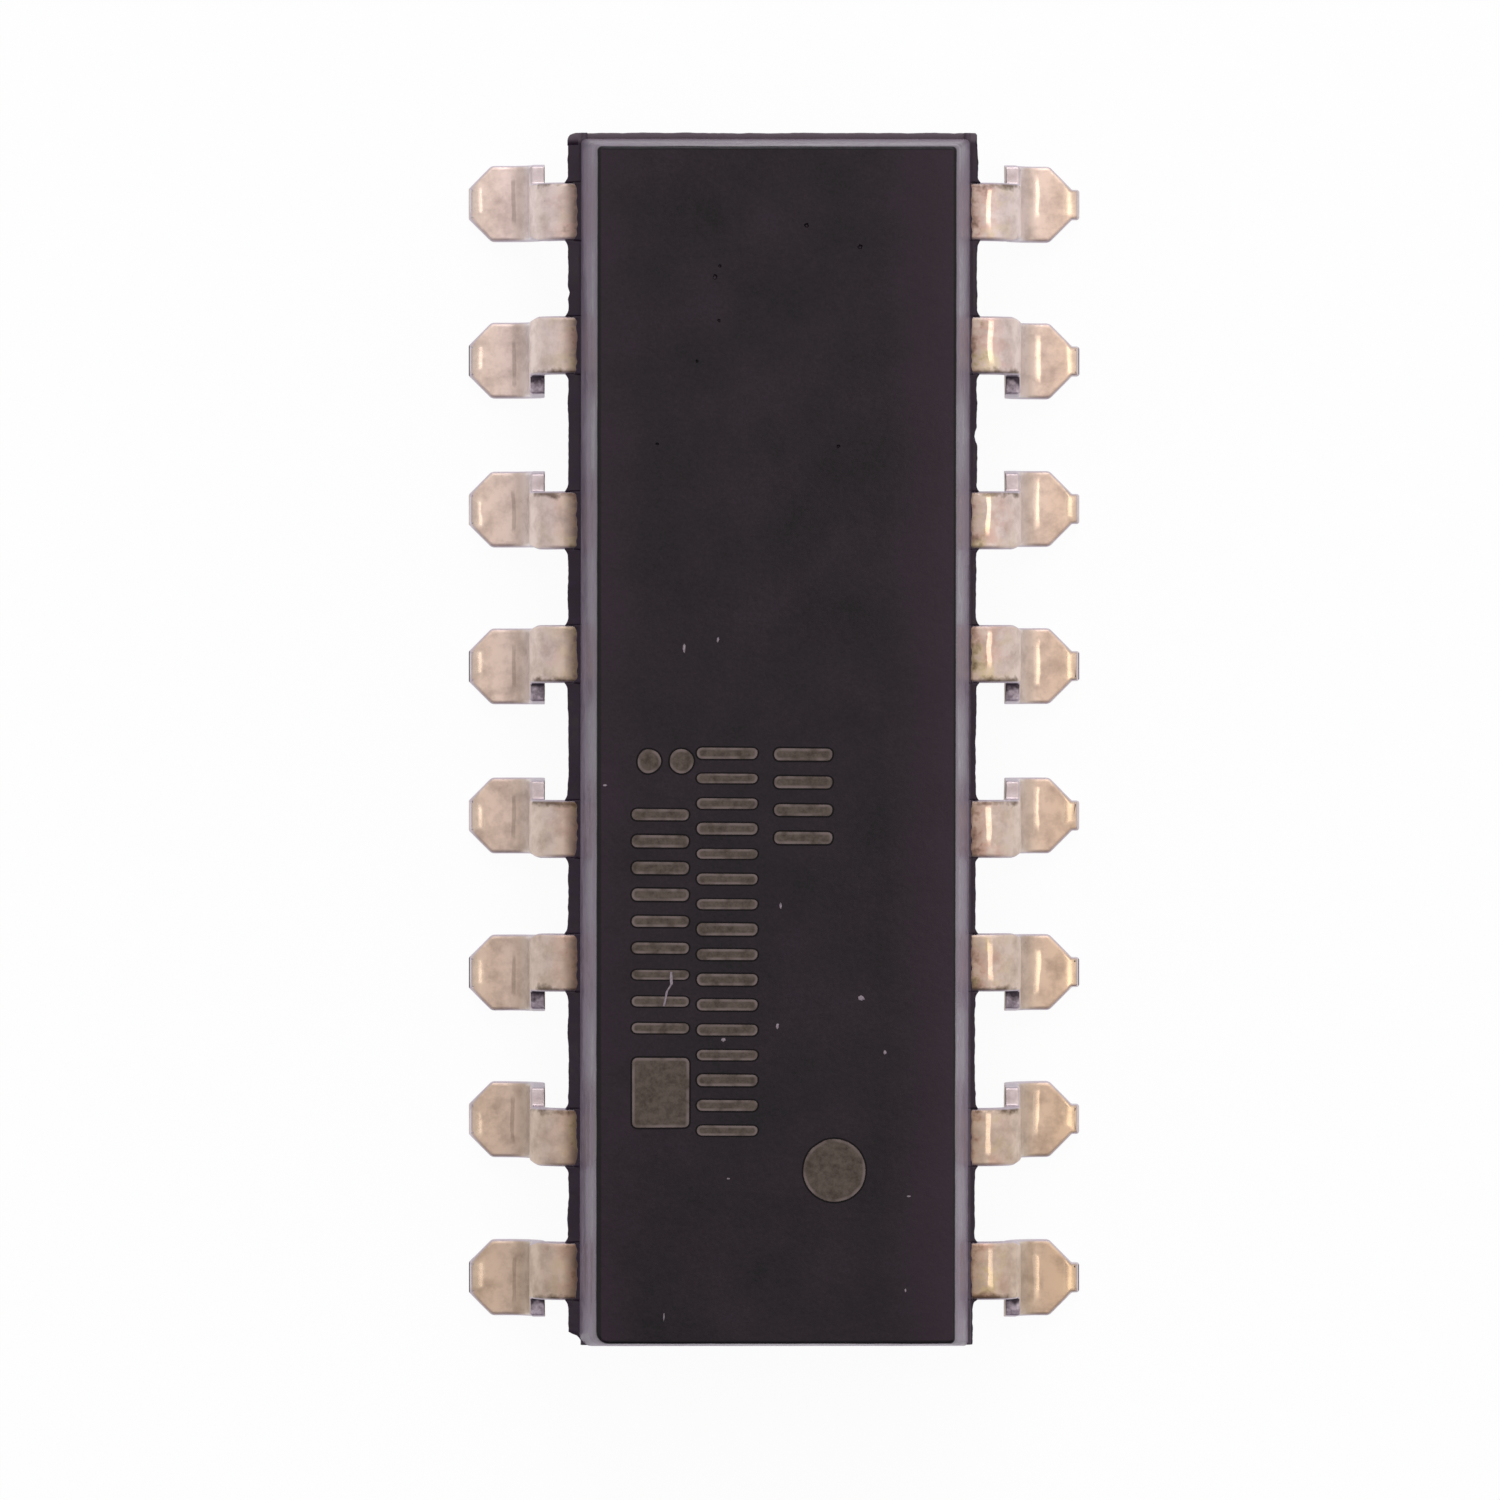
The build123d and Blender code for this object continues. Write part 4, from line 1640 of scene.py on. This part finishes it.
@dataclass
class Studio:
    """White table, soft lamps and the camera above it, in millimetres."""

    eye: Triple = (-2.55, 1.33, 176.0)
    target: Triple = (-0.4, -0.157, 0.0)
    lens: float = 253.68
    sensor: float = 36.0
    dome: float = 0.86
    horizon: float = 0.62
    clearance: float = 0.012
    white: str = "fbf8fc"
    shades: tuple[tuple[Triple, float, float, str], ...] = (
        ((0.0, 0.0, 1.0), 5.0, 0.6, "fbf8fc"), ((0.0, -0.9, 0.44), 44.0, 0.45, "cfc6e6"),
        ((0.85, 0.0, 0.53), 40.0, 1.2, "fbf8fc"),
    )
    lamps: tuple[tuple[str, Triple, float, float, str], ...] = (
        ("key", (62, 8, 172), 58, 0.018, "fff0dc"), ("fill", (-62, 8, 172), 44, 0.01, "fff6ee"),
        ("window", (10, 150, 120), 120, 0.14, "f6f4ff"),
    )
    paper: Material | None = None

    def camera(self) -> None:
        """Stand the camera almost straight above the part."""
        data = bpy.data.cameras.new("camera")
        data.sensor_width = self.sensor
        data.lens = self.lens
        data.clip_start = 5 * MM
        data.clip_end = 5.0
        camera = new_object("camera", data)
        eye = Vector(self.eye) * MM
        back = (eye - Vector(self.target) * MM).normalized()
        right = Vector((0, 1, 0)).cross(back).normalized()
        turned = Matrix((right, back.cross(right), back)).transposed()
        camera.location = eye
        camera.rotation_euler = turned.to_euler()
        bpy.context.scene.camera = camera

    def sky(self) -> None:
        """Stand a white dome round the part, dimmer low down, with its own shades and panels."""
        world = bpy.data.worlds.new("studio")
        world.use_nodes = True
        tree = world.node_tree
        put = partial(add_node, tree)
        towards = put("TexCoord").outputs["Generated"]
        height = put("SeparateXYZ", (towards,)).outputs["Z"]
        strength = put("MapRange", (
            height, 0.15, 0.85, self.horizon, self.dome
        ), interpolation_type="SMOOTHSTEP")
        colour = linear(self.white)
        for direction, half_angle, share, tint in self.shades:
            aside = put(
                "VectorMath", (towards, Vector(direction).normalized()), operation="DOT_PRODUCT"
            )
            mask = put("MapRange", (
                aside, math.cos(math.radians(half_angle * 1.5)),
                math.cos(math.radians(half_angle * 0.6)),
            ), interpolation_type="SMOOTHSTEP")
            dimmed = put("MapRange", {"Value": mask, "To Min": 1.0, "To Max": share})
            strength = put("Math", (strength, dimmed), operation="MULTIPLY")
            colour = put("Mix", {"Factor": mask, "A": colour, "B": linear(tint)}, data_type="RGBA")
        back = tree.nodes["Background"]
        feed(back, "Color", colour)
        feed(back, "Strength", strength)
        bpy.context.scene.world = world

    def lamp(self, name: str, place: Triple, size: float, watts: float, colour: str) -> None:
        """Hang one soft square lamp that points at the part.

        Args:
            name: The lamp's name.
            place: Where it hangs.
            size: Length of its side.
            watts: Its power.
            colour: Its colour.
        """
        data = bpy.data.lights.new(name, "AREA")
        data.size = size * MM
        data.energy = watts
        data.color = linear(colour)[:3]
        lamp = new_object(name, data)
        lamp.location = Vector(place) * MM
        lamp.rotation_euler = (-lamp.location).to_track_quat("-Z", "Y").to_euler()

    def build(self) -> None:
        """Set out the table, the lamps, the sky and the camera."""
        build = bmesh.new()
        bmesh.ops.create_grid(
            build, x_segments=1, y_segments=1, size=900 * MM,
            matrix=Matrix.Translation((0, 0, -self.clearance * MM)),
        )
        table = new_object("white_table", mesh_from("white_table", build))
        table.data.materials.append(self.paper)
        for lamp in self.lamps:
            self.lamp(*lamp)
        self.sky()
        self.camera()


@dataclass(frozen=True)
class WhiteCard(Grained):
    """Seamless white card, brightly lit: it stays white to the eye and keeps a soft shadow."""

    glow: float = 0.95

    def detail(self, tree: Tree, shader: Node, place: Socket) -> None:
        """Grain the card and let the eye and glossy surfaces see it white."""
        super().detail(tree, shader, place)
        put = partial(add_node, tree)
        ray = put("LightPath").outputs
        seen = put("Math", (ray["Is Camera Ray"], ray["Is Glossy Ray"]), operation="MAXIMUM")
        seen = put("Math", (seen, ray["Is Transmission Ray"]), operation="MAXIMUM")
        share = put("Math", (seen, self.glow), operation="MULTIPLY")
        white = put("Emission", {"Strength": 1.0})
        both = put("MixShader", {"Fac": share, 1: shader.outputs["BSDF"], 2: white})
        feed(tree.nodes["Material Output"], "Surface", both)


INSIDE = {
    "white_epoxy": Grained("white_reflective_epoxy", "ece8de", 0.5, shade="ddd8cc", grain=0.08),
    "led_die": Grained("gallium_arsenide_die", "6b5a3c", 0.2, shade="4a3f30", grain=0.05),
    "silicon_die": Grained("polished_silicon_die", "4a5560", 0.15, shade="38424e", grain=0.12),
    "clear_silicone": Grained(
        "clear_silicone_gel", "f4f4f0", 0.12, shade="ecece6", grain=0.2, ior=1.41
    ),
    "gold_wire": Grained(
        "drawn_gold_wire", "e8bf62", 0.25, metallic=1.0, shade="d9ab4c", grain=0.02
    ),
}


def dress_inside() -> None:
    """Give the sealed pieces their materials, by the record's slots."""
    finishes = {slot: finish.build() for slot, finish in INSIDE.items()}
    for subpart in frame["record"]["subparts"]:
        material = finishes.get(subpart["material_slot"])
        node = bpy.data.objects.get(subpart["node"])
        if material and node:
            node.data.materials.clear()
            node.data.materials.append(material)
            log.info("%s: %s", node.name, material.name)


def main() -> None:
    """Build the part's pieces in order and report each one."""
    scene = bpy.context.scene
    scene.view_settings.view_transform = "Standard"
    epoxy = MouldedEpoxy(
        "black_epoxy_spark_eroded_mould", "0c070b", 0.4, specular=0.25, sheen=0.44,
        sheen_tint="cfc0d6",
    ).build()
    frame_of_leads = LeadFrame(
        plates={
            1: TinPlate("matt_tin_plate_die_formed", "e2cfc0", 0.55, metallic=1.0).build(),
            # the -X row's plate paints its heel crease darker, a painted shade
            -1: TinPlate(
                "matt_tin_plate_creased", "e2cfc0", 0.55, metallic=1.0, creased=0.3, heat=0.3,
                # this row's foot tones are pinker than the +X row's, which is painted more golden
                # where the warm key lamp falls
                tones=(
                    (0.45, "f0e0d9"), (1.64, "ecdedd"), (1.98, "f4eff2"), (2.36, "e6d4c8"),
                    (2.69, "f0ded2"), (3.29, "eedac8"),
                ),
                root=(
                    (0.0, "5e4a40"), (0.105, "7d6a60"), (0.155, "a18e82"), (0.22, "c8b5a7"),
                    (0.285, "e4d2c4"),
                ),
                burnished=((3.19, 0.17, 1.31, 0.24),),
            ).build(),
        },
        shear=Grained(
            "sheared_edge_tinned", "dccfcd", 0.5, metallic=1.0, shade="c8bab6", grain=0.14
        ).build(),
        # the darker copy of the cut edge, painted with the neck's shade
        torn=ShadedTornEdge(
            "sheared_edge_torn_in_painted_shade", "d4c8ce", 0.55, metallic=0.9, shade="9c8e96", grain=0.09,
            depth=0.006, contrast=0.14,
        ).build(),
    )
    frame_of_leads.build()
    pits = (
        Pit(-1.02, 7.58, 0.045), Pit(-0.94, 7.76, 0.03), Pit(0.48, 8.42, 0.04),
        Pit(1.35, 8.07, 0.045), Pit(-1.31, 6.21, 0.03), Pit(-0.95, 6.87, 0.03),
        Pit(0.99, 4.82, 0.035), Pit(-1.96, 4.86, 0.03),
    )
    MouldedBody(pits=pits, epoxy=epoxy).build(frame_of_leads)
    LaserMarks(ash=BurntMark("laser_burnt_epoxy_ash", "5a5047", 0.8, specular=0.2).build()).build()
    Crumbs(
        dust=Grained("pale_resin_crumbs", "958a90", 0.6, shade="6c6066", grain=0.03).build()
    ).build()
    dress_inside()
    Studio(paper=WhiteCard("white_card", "f6f6f6", 0.9, shade="f1f1f1", grain=0.5).build()).build()


if __name__ == "__main__":
    logging.basicConfig(level=logging.INFO, format="%(name)s: %(message)s")
    main()
